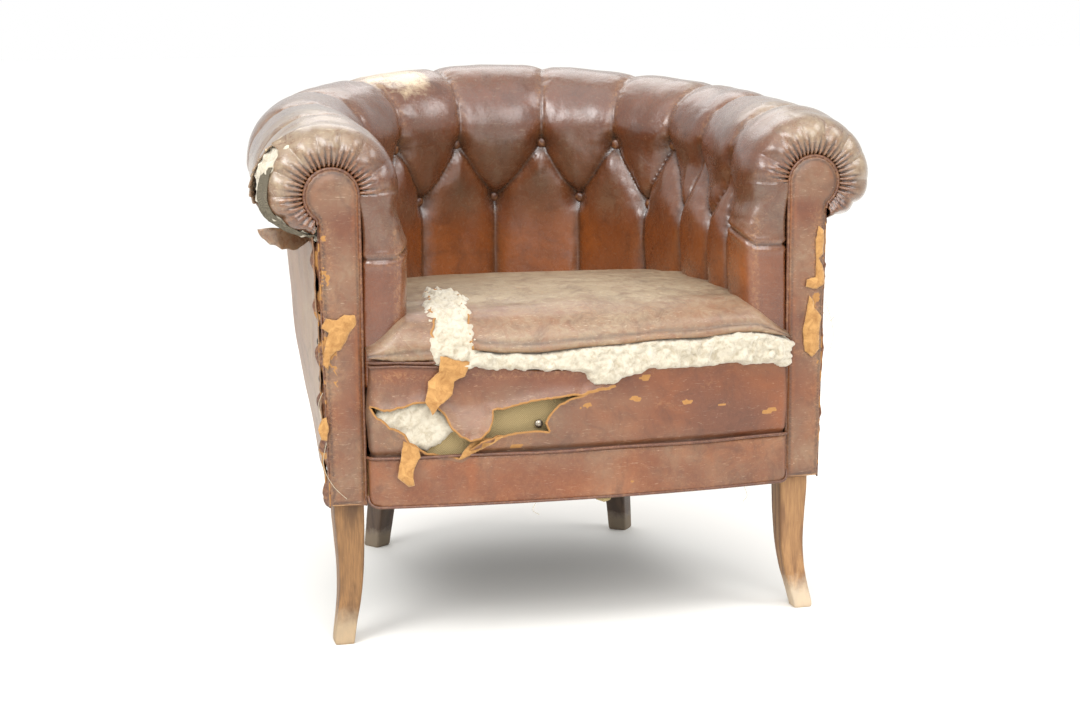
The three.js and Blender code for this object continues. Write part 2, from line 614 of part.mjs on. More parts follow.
// A cushion form on the seat's plan: upright sides, then a crown that closes in towards the middle.
function cushion(shrink, zLow, zShoulder, zCrown) {
  const levels = [[zLow, 1], [zShoulder, 1]];
  for (const share of [0.35, 0.7, 1]) {
    levels.push([zShoulder + (zCrown - zShoulder) * Math.sin(share * Math.PI / 2), 1 - 0.7 * share * share]);
  }
  return loft(levels.map(([z, scale]) => seatOutline(shrink, scale).map(([x, y]) => new THREE.Vector3(x, y, z))));
}

const WADDING = 15;
const LOOSE = 1; // the seat's layers lie this far apart at their sides
const SLACK = 2.5; // and this much further apart on top
const SHOULDER_Z = SEAT_LIP_Z + 34; // top of the seat's upright side

// One face of the seat's layers, this deep under the leather's own face.
function seatFace(deep, slack, zLow = SEAT_LIP_Z) {
  return cushion(deep, zLow, SHOULDER_Z - deep - slack, SEAT_CROWN_Z - deep - slack);
}
const WADDING_DEEP = LEATHER + LOOSE;
const STUFFING_DEEP = WADDING_DEEP + WADDING + LOOSE;
addPiece("seat_cover", cut(seatFace(0, 0), seatFace(LEATHER, 0, SEAT_LIP_Z - 5)), "leather");
addPiece("seat_wadding", cut(seatFace(WADDING_DEEP, SLACK), seatFace(WADDING_DEEP + WADDING, SLACK, SEAT_LIP_Z - 5)), "cotton");
const CANVAS_THICK = 1.6;
addPiece("seat_stuffing", seatFace(STUFFING_DEEP, 2 * SLACK, SPRING_TOP_Z + CANVAS_THICK + 2 * GAP), "hair");

const canvasOutline = seatOutline(STUFFING_DEEP).map(([x, y]) => new THREE.Vector2(x, y));
addPiece("spring_canvas", sheetLying(new THREE.Shape(canvasOutline), SPRING_TOP_Z + GAP, SPRING_TOP_Z + GAP + CANVAS_THICK), "hessian");

// Waisted coil springs, standing on the webbing.
const WEB_TOP_Z = RAIL_LOW_Z - GAP;
class SpringWire extends THREE.Curve {
  getPoint(t) {
    const turns = 4.5;
    const angle = t * turns * 2 * Math.PI;
    const waist = 24 + 18 * Math.abs(2 * t - 1) ** 1.5;
    const z = WEB_TOP_Z + 2.6 + t * (SPRING_TOP_Z - WEB_TOP_Z - 5.2);
    return new THREE.Vector3(waist * Math.cos(angle), waist * Math.sin(angle), z);
  }
}
function springGeometry() {
  const wire = new THREE.Shape();
  wire.setFromPoints([0, 1, 2, 3].map((i) =>
    new THREE.Vector2(2.2 * Math.cos((i * Math.PI) / 2), 2.2 * Math.sin((i * Math.PI) / 2))));
  return new THREE.ExtrudeGeometry(wire, { steps: 27, extrudePath: new SpringWire(), bevelEnabled: false });
}
const SPRING_PLACES = [[-118, 95], [118, 95], [0, 225], [-118, 360], [118, 360]];
SPRING_PLACES.forEach(([x, y], i) => {
  addPiece(`seat_spring_${i + 1}`, springGeometry(), "steel").position.set(x, FACING_FRONT_Y + y, 0);
});

// Jute webbing: straps across and lengthwise, tacked to the rails and interlaced where they cross.
const STRAP = 44;
const STRAP_THICK = 1.9;
function strap(x0, x1, y0, y1, z) {
  const geometry = new THREE.BoxGeometry(x1 - x0, y1 - y0, STRAP_THICK);
  geometry.translate((x0 + x1) / 2, (y0 + y1) / 2, z);
  return geometry;
}
const CROSS_STRAPS = [[95, 298], [160, 290], [225, 284], [290, 276], [360, 240]];
const LONG_STRAPS = [[-118, 488], [-59, 510], [0, 516], [59, 510], [118, 488]];
const LONG_Z = RAIL_LOW_Z - GAP - STRAP_THICK / 2;
const CROSS_Z = LONG_Z - STRAP_THICK + 0.15;
const straps = [
  ...CROSS_STRAPS.map(([y, half]) => strap(-half, half, FACING_FRONT_Y + y - STRAP / 2, FACING_FRONT_Y + y + STRAP / 2, CROSS_Z)),
  ...LONG_STRAPS.map(([x, end]) => strap(x - STRAP / 2, x + STRAP / 2, FACING_FRONT_Y + 10, FACING_FRONT_Y + end, LONG_Z)),
];
addPiece("seat_webbing", join(straps[0], ...straps.slice(1)), "jute");

// Bottom cloth, which passes inside the front legs and is cut round the rear ones.
const clothLine = stationsBetween(66, centreLine.total - 66, 60).map((d) => {
  const at = station(d);
  return place(at, at.outsideBottom - LEATHER - 3, 0);
});
const CLOTH_LOW = RAIL_LOW_Z - 6.8;
const clothOutline = [
  ...clothLine.map((p) => new THREE.Vector2(p.x, p.y)),
  ...[[-1, 62], [-1, 2], [1, 2], [1, 62]].map(([side, behind]) =>
    new THREE.Vector2(side * (FRONT_HALF_WIDTH - 5), FACING_FRONT_Y + behind)),
];
const legHoles = [-1, 1].map((side) =>
  loft([150, 230].map((z) => legSection(side * REAR_LEG.x, REAR_LEG.y, z, 45, 45, -side * REAR_TURN))));
addPiece("bottom_cloth", cut(sheetLying(new THREE.Shape(clothOutline), CLOTH_LOW, CLOTH_LOW + 1.4), ...legHoles), "hessian");

export default chair;
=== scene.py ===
import itertools
import math

import bmesh
import bpy
import numpy as np
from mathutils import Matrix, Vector, geometry


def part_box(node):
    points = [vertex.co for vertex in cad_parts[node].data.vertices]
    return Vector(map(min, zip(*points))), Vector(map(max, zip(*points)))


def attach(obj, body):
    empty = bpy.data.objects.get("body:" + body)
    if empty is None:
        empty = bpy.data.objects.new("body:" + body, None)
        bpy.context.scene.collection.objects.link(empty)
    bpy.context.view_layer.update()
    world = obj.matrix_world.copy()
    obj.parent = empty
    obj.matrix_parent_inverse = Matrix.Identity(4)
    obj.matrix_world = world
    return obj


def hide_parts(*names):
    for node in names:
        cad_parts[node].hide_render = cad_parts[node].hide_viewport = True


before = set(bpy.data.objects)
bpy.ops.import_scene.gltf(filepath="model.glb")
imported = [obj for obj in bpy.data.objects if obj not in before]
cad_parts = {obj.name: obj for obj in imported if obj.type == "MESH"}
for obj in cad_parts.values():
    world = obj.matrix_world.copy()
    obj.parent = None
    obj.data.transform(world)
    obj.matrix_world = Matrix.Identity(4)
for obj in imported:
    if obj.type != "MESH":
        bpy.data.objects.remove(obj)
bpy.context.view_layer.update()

bl_info = {
    "name": "Worn club chair",
    "version": (1, 0, 0),
    "blender": (4, 5, 0),
    "location": "3D View > Sidebar > Club chair",
    "description": "Upholsters the frame of a low buttoned club chair in worn, torn leather",
    "category": "Object",
}

# ------------------------------------------------------------------ shared sizes
# All sizes are in millimetres from the middle of the facings' front plane at floor level, +Y to the back,
# and turn to metres only when a mesh is made.
MM = 0.001
FRONT_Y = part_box("facing_cover_left")[0][1]
SKIRT_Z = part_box("facing_cover_left")[0][2] / MM
STEM_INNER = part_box("facing_cover_right")[0][0] / MM
STEM_OUTER_LOW = 327.0
STEM_OUTER_HIGH = 334.0
HEAD = (316.0, 576.0)
HEAD_R = 34.0
BORDER_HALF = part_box("front_border_cover")[1][0] / MM
BOW = 30.0
BOW_END = 10.0
CORNER_AT = 260.0  # how far the corners lie from the fronts of the arms, along the tub
ROLL_Z = 577.0  # height of the roll's middle at the fronts of the arms
ROLL_RISE = 52.5  # how much higher it is in the middle of the back
ROLL_START = math.radians(196)  # where round the roll its control points start
PAD_HEIGHTS = (334, 425, 506)  # of the control points up the inside wall
TUB_HIDE, OUTSIDE_HIDE, FLAP_HIDE, TORN_HIDE = 2.2, 1.8, 1.7, 1.4  # thicknesses
HESSIAN_THICK, SCRAP_THICK = 1.2, 1.0
OUTSIDE_ROWS, OUTSIDE_COLS = 300, 64
LEG_TOP = 228
CORNER_POWER = 0.24  # how square a leg's sections are: 0 is square and 1 is round


def metres(points):
    """Turns points in the chair's own millimetres into the frame's metres."""
    placed = np.asarray(points, float) * MM
    placed[:, 1] += FRONT_Y
    return placed


def smooth(t):
    """An S-shaped step from 0 to 1."""
    t = np.clip(t, 0.0, 1.0)
    return t * t * (3 - 2 * t)


def soft_noise(points, size, seed=0):
    """Smooth random values from -1 to 1 that change over about size millimetres."""
    p = np.asarray(points, float) / size + 31.7 * (seed + 1)
    cell = np.floor(p).astype(np.int64)
    f = smooth(p - cell)
    total = np.zeros(len(p))
    for corner in itertools.product((0, 1), repeat=3):
        c = cell + np.array(corner)
        h = (c[:, 0] * 73856093) ^ (c[:, 1] * 19349663) ^ (c[:, 2] * 83492791) ^ (seed * 2654435761)
        h = ((h ^ (h >> 13)) * 1274126177) & 0x7FFFFFFF
        value = ((h ^ (h >> 11)) & 0xFFFF) / 32767.5 - 1.0
        total += value * np.prod(np.where(corner, f, 1 - f), axis=1)
    return total


def rough_noise(points, size, octaves=3, seed=0):
    """Several soft noises, each half the size and strength of the last."""
    total = sum(soft_noise(points, size / 2**k, seed + 11 * k) / 2**k for k in range(octaves))
    return total / (2 - 2 ** (1 - octaves))


def raised(flat):
    """Flat points as 3-D ones at height 0, which is what the noises take."""
    return np.column_stack([flat, np.zeros(len(flat))])


def inside(polygon, points):
    """Which 2-D points lie inside a polygon."""
    poly = np.asarray(polygon, float)
    x, y = points[:, 0], points[:, 1]
    hit = np.zeros(len(points), bool)
    for (x0, y0), (x1, y1) in zip(poly, np.roll(poly, -1, axis=0)):
        if y0 == y1:
            continue
        crosses = (y0 > y) != (y1 > y)
        hit ^= crosses & (x < (x1 - x0) * (y - y0) / (y1 - y0) + x0)
    return hit


def edge_distance(line, points, closed=True):
    """Distance from each point to a polyline, in two or three dimensions."""
    line = np.asarray(line, float)
    ends = np.roll(line, -1, axis=0) if closed else line[1:]
    best = np.full(len(points), 1e9)
    for a, b in zip(line, ends):
        ab = b - a
        t = np.clip((points - a) @ ab / max(ab @ ab, 1e-9), 0, 1)
        best = np.minimum(best, np.linalg.norm(points - a - t[:, None] * ab, axis=1))
    return best


def ragged(polygon, step, depth, seed, closed=True):
    """A torn version of an outline: cut every step and pushed about by up to depth."""
    poly = np.asarray(polygon, float)
    ends = np.roll(poly, -1, axis=0) if closed else poly[1:]
    out = []
    for a, b in zip(poly, ends):
        n = max(1, int(round(np.linalg.norm(b - a) / step)))
        out += [a + (b - a) * k / n for k in range(n)]
    if not closed:
        out.append(poly[-1])
    out = np.array(out)
    flat = np.column_stack([out, np.zeros(len(out))])
    push = np.column_stack([rough_noise(flat, 9, 3, seed), rough_noise(flat, 9, 3, seed + 5)])
    return out + push * depth


# ------------------------------------------------------------------ settings that a user would change
class ChairSizes(bpy.types.PropertyGroup):
    """Sizes of the soft work, which the frame doesn't fix."""

    leather: bpy.props.FloatProperty(
        name="Leather", description="Thickness of the hide", default=1.6 * MM, unit="LENGTH")
    tuft_depth: bpy.props.FloatProperty(
        name="Tuft depth", description="How far the buttoned diamonds swell above their pleats",
        default=17 * MM, unit="LENGTH")
    button: bpy.props.FloatProperty(
        name="Button", description="Diameter of a covered button", default=15 * MM, unit="LENGTH")
    gather_depth: bpy.props.FloatProperty(
        name="Gather depth", description="Depth of the gathers round the facings' heads",
        default=4.2 * MM, unit="LENGTH")


def linear(hex_value):
    """Turns an sRGB hex colour such as "#7a4a36" into linear red, green, blue and alpha."""
    srgb = [int(hex_value[k : k + 2], 16) / 255 for k in (1, 3, 5)]
    return tuple(c / 12.92 if c <= 0.04045 else ((c + 0.055) / 1.055) ** 2.4 for c in srgb) + (1.0,)


def colour_setting(name, description, hex_value):
    """A colour setting whose default is an sRGB hex value."""
    return bpy.props.FloatVectorProperty(
        name=name, description=description, default=linear(hex_value)[:3], subtype="COLOR", size=3, min=0, max=1)


class ChairColours(bpy.types.PropertyGroup):
    """Colours of the chair's materials."""

    hide: colour_setting("Hide", "Main red-brown of the leather", "#683820")
    # Blotches, mottling and grime use this colour; the darkening in folds is painted shade in a near-black of its own.
    hide_dark: colour_setting("Dark hide", "Leather in folds and where polish has built up", "#3a1f13")
    hide_warm: colour_setting("Warm hide", "Orange-brown of the sheltered leather", "#8a4a1c")
    # Real fading, and also the painted sheen and glare on roll tops, pad crowns and the left of the outside panel.
    hide_fade_and_sheen: colour_setting("Faded hide", "Grey-brown of the leather that light has faded", "#9f8d72")
    suede: colour_setting("Suede", "Raw tan flesh side of the hide", "#b58449")
    wadding: colour_setting("Wadding", "Cream cotton wadding", "#cac2b0")
    hessian: colour_setting("Hessian", "Aged hessian under the wadding", "#cdb98c")
    oak: colour_setting("Oak", "Worn oak of the front legs", "#8f683f")
    stained: colour_setting("Stained wood", "Dark wood of the rear legs", "#3f2d20")


# ------------------------------------------------------------------ mesh helpers
def deselect():
    bpy.ops.object.select_all(action="DESELECT")


def make_active(piece):
    deselect()
    piece.select_set(True)
    bpy.context.view_layer.objects.active = piece


def apply_modifiers(piece):
    make_active(piece)
    for modifier in list(piece.modifiers):
        bpy.ops.object.modifier_apply(modifier=modifier.name)


def in_edit_mode(piece, *steps):
    """Runs edit-mode steps on the whole of one piece."""
    make_active(piece)
    bpy.ops.object.mode_set(mode="EDIT")
    bpy.ops.mesh.select_all(action="SELECT")
    for step in steps:
        step()
    bpy.ops.object.mode_set(mode="OBJECT")


def face_outwards():
    bpy.ops.mesh.normals_make_consistent(inside=False)


def finish_piece(piece, material, slot, *replaced, angle=None):
    """Gives a piece its materials and body and hides the CAD nodes that it stands for; slot is not used."""
    piece.data.materials.clear()
    for one in material if isinstance(material, (list, tuple)) else [material]:
        piece.data.materials.append(one)
    make_active(piece)
    if angle is None:
        bpy.ops.object.shade_smooth()
    else:
        bpy.ops.object.shade_smooth_by_angle(angle=math.radians(angle))
    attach(piece, "root")
    if replaced:
        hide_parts(*replaced)
    return piece


def add_grid(name, rows, cols):
    """A flat grid of rows by cols points, and which row and column each of its points is in."""
    deselect()
    bpy.ops.mesh.primitive_grid_add(x_subdivisions=rows - 1, y_subdivisions=cols - 1, size=2)
    piece = bpy.context.object
    piece.name = piece.data.name = name
    flat = np.empty(len(piece.data.vertices) * 3)
    piece.data.vertices.foreach_get("co", flat)
    flat = flat.reshape(-1, 3)
    row = np.rint((flat[:, 0] + 1) / 2 * (rows - 1)).astype(int)
    col = np.rint((flat[:, 1] + 1) / 2 * (cols - 1)).astype(int)
    return piece, row, col


def set_points(piece, points_mm):
    piece.data.vertices.foreach_set("co", metres(points_mm).ravel())
    piece.data.update()


def paint(piece, name, values):
    """Stores a value from 0 to 1 on each point, for the materials to read."""
    attribute = piece.data.attributes.new(name, "FLOAT", "POINT")
    attribute.data.foreach_set("value", np.clip(values, 0, 1).astype(np.float32))


def cut_sheet(name, outline, holes, spacing, place, thickness, marks=None):
    """Cuts a flat outline with holes out of a sheet, lays it on a surface and gives it a thickness.

    place turns flat points into chair points; marks gives the painted values of flat points.
    """
    outline = np.asarray(outline, float)
    holes = [np.asarray(h, float) for h in holes]
    low, high = outline.min(0), outline.max(0)
    columns = np.arange(low[0] + spacing / 2, high[0], spacing)
    lines = np.arange(low[1] + spacing / 2, high[1], spacing * 0.87)
    flat = np.array([(x + (spacing / 2 if k % 2 else 0), y) for k, y in enumerate(lines) for x in columns])
    keep = inside(outline, flat) & (edge_distance(outline, flat) > spacing * 0.45)
    for hole in holes:
        keep &= ~inside(hole, flat) & (edge_distance(hole, flat) > spacing * 0.45)
    points, edges = [], []
    for loop in [outline, *holes]:
        start = len(points)
        points += [Vector(p) for p in loop]
        edges += [(start + k, start + (k + 1) % len(loop)) for k in range(len(loop))]
    points += [Vector(p) for p in flat[keep]]
    found = geometry.delaunay_2d_cdt(points, edges, [], 1, 1e-4)
    flat = np.array([tuple(v) for v in found[0]])
    faces = np.array([f for f in found[2] if len(f) == 3])
    middle = flat[faces].mean(axis=1)
    wanted = inside(outline, middle)
    for hole in holes:
        wanted &= ~inside(hole, middle)
    faces = faces[wanted]
    used = np.unique(faces)
    renumber = np.full(len(flat), -1)
    renumber[used] = np.arange(len(used))
    flat = flat[used]
    mesh = bpy.data.meshes.new(name)
    mesh.from_pydata(metres(place(flat)).tolist(), [], renumber[faces].tolist())
    piece = bpy.data.objects.new(name, mesh)
    bpy.context.scene.collection.objects.link(piece)
    for key, values in (marks(flat) if marks else {}).items():
        paint(piece, key, values)
    in_edit_mode(piece, face_outwards)
    solid = piece.modifiers.new("thickness", "SOLIDIFY")
    solid.thickness = thickness
    solid.offset = -1
    solid.material_offset = solid.material_offset_rim = 1
    apply_modifiers(piece)
    return piece


def piping(name, line, radius, closed=False, sides=3):
    """A round cord along a line of chair points."""
    curve = bpy.data.curves.new(name, "CURVE")
    curve.dimensions = "3D"
    curve.bevel_depth = radius
    curve.bevel_resolution = sides
    curve.use_fill_caps = not closed
    spline = curve.splines.new("POLY")
    placed = metres(line)
    spline.points.add(len(placed) - 1)
    spline.points.foreach_set("co", np.column_stack([placed, np.ones(len(placed))]).ravel())
    spline.use_cyclic_u = closed
    piece = bpy.data.objects.new(name, curve)
    bpy.context.scene.collection.objects.link(piece)
    make_active(piece)
    bpy.ops.object.convert(target="MESH")
    return bpy.context.object


def joined(name, pieces):
    """Joins pieces into one, under one name."""
    deselect()
    for piece in pieces:
        piece.select_set(True)
    bpy.context.view_layer.objects.active = pieces[0]
    if len(pieces) > 1:
        bpy.ops.object.join()
    result = bpy.context.object
    result.name = result.data.name = name
    return result


# ------------------------------------------------------------------ materials
def node(tree, kind, inputs=None, **settings):
    """Adds a node with its settings; an input is a value, or a socket to link from."""
    made = tree.nodes.new(kind)
    for key, value in settings.items():
        setattr(made, key, value)
    for key, value in (inputs or {}).items():
        socket = made.inputs[key]
        if isinstance(value, bpy.types.NodeSocket):
            tree.links.new(value, socket)
        else:
            socket.default_value = value
    return made


def new_material(name):
    material = bpy.data.materials.new(name)
    material.use_nodes = True
    material.node_tree.nodes.clear()
    return material, material.node_tree


def finish_material(tree, shader):
    node(tree, "ShaderNodeOutputMaterial", {"Surface": shader.outputs[0]})


def attribute(tree, name):
    return node(tree, "ShaderNodeAttribute", attribute_name=name).outputs["Fac"]


def ramp(tree, value, *stops):
    """Maps a value through (position, grey level) stops."""
    made = node(tree, "ShaderNodeValToRGB", {"Fac": value})
    elements = made.color_ramp.elements
    while len(elements) < len(stops):
        elements.new(0.5)
    for element, (position, level) in zip(elements, stops):
        element.position = position
        element.color = (level, level, level, 1)
    return made.outputs["Color"]


def mix(tree, factor, first, second, blend="MIX"):
    made = node(tree, "ShaderNodeMix", {"Factor": factor}, data_type="RGBA", blend_type=blend)
    for socket, value in ((made.inputs[6], first), (made.inputs[7], second)):
        if isinstance(value, bpy.types.NodeSocket):
            tree.links.new(value, socket)
        else:
            socket.default_value = value
    return made.outputs[2]


def maths(tree, operation, first, second=0.0, clamp=False):
    return node(tree, "ShaderNodeMath", {0: first, 1: second}, operation=operation, use_clamp=clamp).outputs[0]


def noise(tree, where, size_mm, detail=4.0, roughness=0.55, distortion=0.0):
    """A noise whose features are about size_mm across."""
    made = node(tree, "ShaderNodeTexNoise", {"Vector": where, "Scale": 1 / (size_mm * MM), "Detail": detail,
                                             "Roughness": roughness, "Distortion": distortion})
    return made.outputs["Fac"]


def bump(tree, height, distance_mm, strength, under=None):
    inputs = {"Height": height, "Distance": distance_mm * MM, "Strength": strength}
    if under is not None:
        inputs["Normal"] = under
    return node(tree, "ShaderNodeBump", inputs).outputs["Normal"]


def rgba(colour):
    return (*colour[:3], 1.0)


def aged_leather(name, colours, gloss=0.2, flatten=0.0, coat=0.25):
    """Aniline-dyed cowhide, waxed and worn: red-brown and blotchy, darkened in its folds by painted shade, tan where
    the surface has rubbed off, greyed where it has faded and where painted sheen lies, with pebbled grain, fine cracks
    and a soft polish."""
    material, tree = new_material(name)
    where = node(tree, "ShaderNodeTexCoord").outputs["Object"]
    blotch = ramp(tree, noise(tree, where, 110, 7, 0.66, 0.6), (0.34, 0), (0.66, 1))
    mottle = ramp(tree, noise(tree, where, 17, 7, 0.7, 1.2), (0.33, 0), (0.72, 1))
    colour = mix(tree, blotch, rgba(colours.hide), mix(tree, 0.55, rgba(colours.hide), rgba(colours.hide_dark)))
    colour = mix(tree, maths(tree, "MULTIPLY", mottle, 0.5), colour, rgba(colours.hide_dark))
    warm = maths(tree, "MULTIPLY", attribute(tree, "warm"), maths(tree, "ADD", blotch, 0.35), True)
    colour = mix(tree, warm, colour, rgba(colours.hide_warm))
    # Pale grey-brown: real fading in places, and a painted sheen and glare where the pieces grey roll tops, pad crowns
    # and the left outside.
    faded = maths(tree, "MULTIPLY", attribute(tree, "fade"), maths(tree, "ADD", mottle, 0.5), True)
    colour = mix(tree, faded, colour, rgba(colours.hide_fade_and_sheen))
    # Painted shade: creases, button pits, seams and grooves darken towards near-black.
    colour = mix(tree, maths(tree, "MULTIPLY", attribute(tree, "fold"), 0.85), colour, rgba(linear("#21120d")))
    rub_noise = ramp(tree, noise(tree, where, 5, 9, 0.78, 0.8), (0.46, 0), (0.64, 1))
    rubbed = maths(tree, "MULTIPLY", attribute(tree, "worn"), rub_noise, True)
    colour = mix(tree, maths(tree, "MULTIPLY", rubbed, 0.7), colour, rgba(linear("#a8794d")))
    # Scuffs: thin pale streaks a few centimetres long and well under a millimetre wide, drawn at 1 mm to show.
    streak_place = node(tree, "ShaderNodeMapping", {"Vector": where, "Rotation": (0.4, 0.9, 0.6),
                                                    "Scale": (1.0, 7.0, 7.0)}).outputs["Vector"]
    streaks = ramp(tree, noise(tree, streak_place, 26, 5, 0.65, 1.4), (0.64, 0), (0.72, 1))
    colour = mix(tree, maths(tree, "MULTIPLY", streaks, 0.45), colour, rgba(linear("#b08a6c")))
    cross_place = node(tree, "ShaderNodeMapping", {"Vector": where, "Rotation": (1.1, -0.5, -0.9),
                                                   "Scale": (1.0, 8.0, 8.0)}).outputs["Vector"]
    scratches = ramp(tree, noise(tree, cross_place, 18, 4, 0.6, 1.6), (0.62, 0), (0.67, 1))
    scratched = maths(tree, "MULTIPLY", scratches, maths(tree, "ADD", attribute(tree, "fade"), 0.25), True)
    colour = mix(tree, maths(tree, "MULTIPLY", scratched, 0.5), colour, rgba(linear("#d8c3a6")))
    grime = ramp(tree, noise(tree, where, 42, 8, 0.72, 1.0), (0.5, 0), (0.68, 1))
    colour = mix(tree, maths(tree, "MULTIPLY", grime, 0.4), colour, rgba(colours.hide_dark))
    suede = ramp(tree, attribute(tree, "suede"), (0.42, 0), (0.58, 1))
    suede_colour = mix(tree, noise(tree, where, 4, 5, 0.7), rgba(colours.suede), rgba(linear("#8f6231")))
    colour = mix(tree, suede, colour, suede_colour)
    chalky = ramp(tree, maths(tree, "MULTIPLY", attribute(tree, "chalk"), maths(tree, "ADD", mottle, 0.6)),
                  (0.25, 0), (0.7, 1))
    colour = mix(tree, maths(tree, "MULTIPLY", chalky, 0.8), colour, rgba(linear("#d8c09b")))
    # Pebbled grain: real pores lie under a millimetre apart, drawn at 1.6 mm so that they show.
    grain = node(tree, "ShaderNodeTexVoronoi", {"Vector": where, "Scale": 1 / (1.6 * MM)}).outputs["Distance"]
    cracks = node(tree, "ShaderNodeTexVoronoi", {"Vector": where, "Scale": 1 / (9 * MM)},
                  feature="DISTANCE_TO_EDGE").outputs["Distance"]
    cracked = ramp(tree, cracks, (0.0, 0), (0.06, 1))
    wrinkles = noise(tree, where, 22, 6, 0.6, 2.2)
    normal = bump(tree, wrinkles, 1.3, 0.5 * (1 - flatten))
    normal = bump(tree, cracked, 0.25, 0.25, normal)
    normal = bump(tree, grain, 0.14, 0.4, normal)
    shine = maths(tree, "MULTIPLY_ADD", mottle, 0.14)
    shine.node.inputs[2].default_value = gloss
    shine = maths(tree, "ADD", shine, maths(tree, "MULTIPLY", faded, 0.1))
    shine = maths(tree, "MAXIMUM", shine, maths(tree, "MULTIPLY", suede, 0.95))
    shine = maths(tree, "MAXIMUM", shine, maths(tree, "MULTIPLY", rubbed, 0.7))
    finish_material(tree, node(tree, "ShaderNodeBsdfPrincipled", {
        "Base Color": colour, "Roughness": shine, "IOR": 1.5, "Specular IOR Level": 0.6, "Coat Weight": coat,
        "Coat Roughness": 0.24,
        "Normal": normal}))
    return material


def flesh_side(name):
    """The raw flesh side of vegetable-tanned hide: matt golden tan suede with a short uneven nap."""
    material, tree = new_material(name)
    where = node(tree, "ShaderNodeTexCoord").outputs["Object"]
    patches = ramp(tree, noise(tree, where, 12, 6, 0.7, 0.8), (0.32, 0), (0.7, 1))
    colour = mix(tree, patches, rgba(linear("#c4965b")), rgba(linear("#916434")))
    normal = bump(tree, noise(tree, where, 1.2, 4, 0.8), 0.35, 0.7)
    finish_material(tree, node(tree, "ShaderNodeBsdfPrincipled", {
        "Base Color": colour, "Roughness": 0.95, "IOR": 1.45, "Sheen Weight": 0.25, "Normal": normal}))
    return material


def cotton_wadding(name, colours):
    """Carded cotton wadding: cream, matt and fibrous, with grey patches of painted shade standing for its hollows."""
    material, tree = new_material(name)
    where = node(tree, "ShaderNodeTexCoord").outputs["Object"]
    tufts = noise(tree, where, 9, 7, 0.7, 0.8)
    hollow_shade = ramp(tree, tufts, (0.36, 1), (0.56, 0))
    soiled = ramp(tree, noise(tree, where, 45, 5, 0.65), (0.52, 0), (0.75, 1))
    # Painted shade: the noise's low spots are greyed to stand for shade in the wadding's hollows.
    colour = mix(tree, maths(tree, "MULTIPLY", hollow_shade, 0.7), rgba(colours.wadding), rgba(linear("#a3957c")))
    colour = mix(tree, maths(tree, "MULTIPLY", soiled, 0.35), colour, rgba(linear("#ab9c80")))
    # Fibres: far finer than a millimetre, drawn as tufts about 2 mm long so that the surface reads as fluff.
    normal = bump(tree, noise(tree, where, 3.0, 6, 0.75, 1.5), 0.8, 0.7)
    finish_material(tree, node(tree, "ShaderNodeBsdfPrincipled", {
        "Base Color": colour, "Roughness": 1.0, "IOR": 1.4, "Sheen Weight": 0.35, "Normal": normal}))
    return material


def woven_cloth(name, light, dark, spacing_mm, roughness=0.95):
    """Plain-woven jute or cotton: two crossed sets of threads, uneven and matt."""
    material, tree = new_material(name)
    where = node(tree, "ShaderNodeTexCoord").outputs["Object"]
    wobble = node(tree, "ShaderNodeTexNoise", {"Vector": where, "Scale": 60.0, "Detail": 3.0}).outputs["Color"]
    bent = node(tree, "ShaderNodeVectorMath", {0: wobble, 1: (0.004, 0.004, 0.004)}, operation="MULTIPLY")
    bent = node(tree, "ShaderNodeVectorMath", {0: where, 1: bent.outputs[0]}, operation="ADD").outputs[0]
    axes = node(tree, "ShaderNodeSeparateXYZ", {"Vector": bent})
    turns = 2 * math.pi / (spacing_mm * MM)
    across = maths(tree, "SINE", maths(tree, "MULTIPLY", axes.outputs["X"], turns))
    flat_axis = maths(tree, "ADD", axes.outputs["Z"], axes.outputs["Y"])
    along = maths(tree, "SINE", maths(tree, "MULTIPLY", flat_axis, turns))
    weave = maths(tree, "MULTIPLY_ADD", maths(tree, "MULTIPLY", across, along), 0.5)
    weave.node.inputs[2].default_value = 0.5
    stain = noise(tree, where, 30, 5, 0.6)
    colour = mix(tree, weave, dark, light)
    colour = mix(tree, maths(tree, "MULTIPLY", stain, 0.5), colour, dark)
    finish_material(tree, node(tree, "ShaderNodeBsdfPrincipled", {
        "Base Color": colour, "Roughness": roughness, "IOR": 1.45, "Normal": bump(tree, weave, 0.7, 0.8)}))
    return material


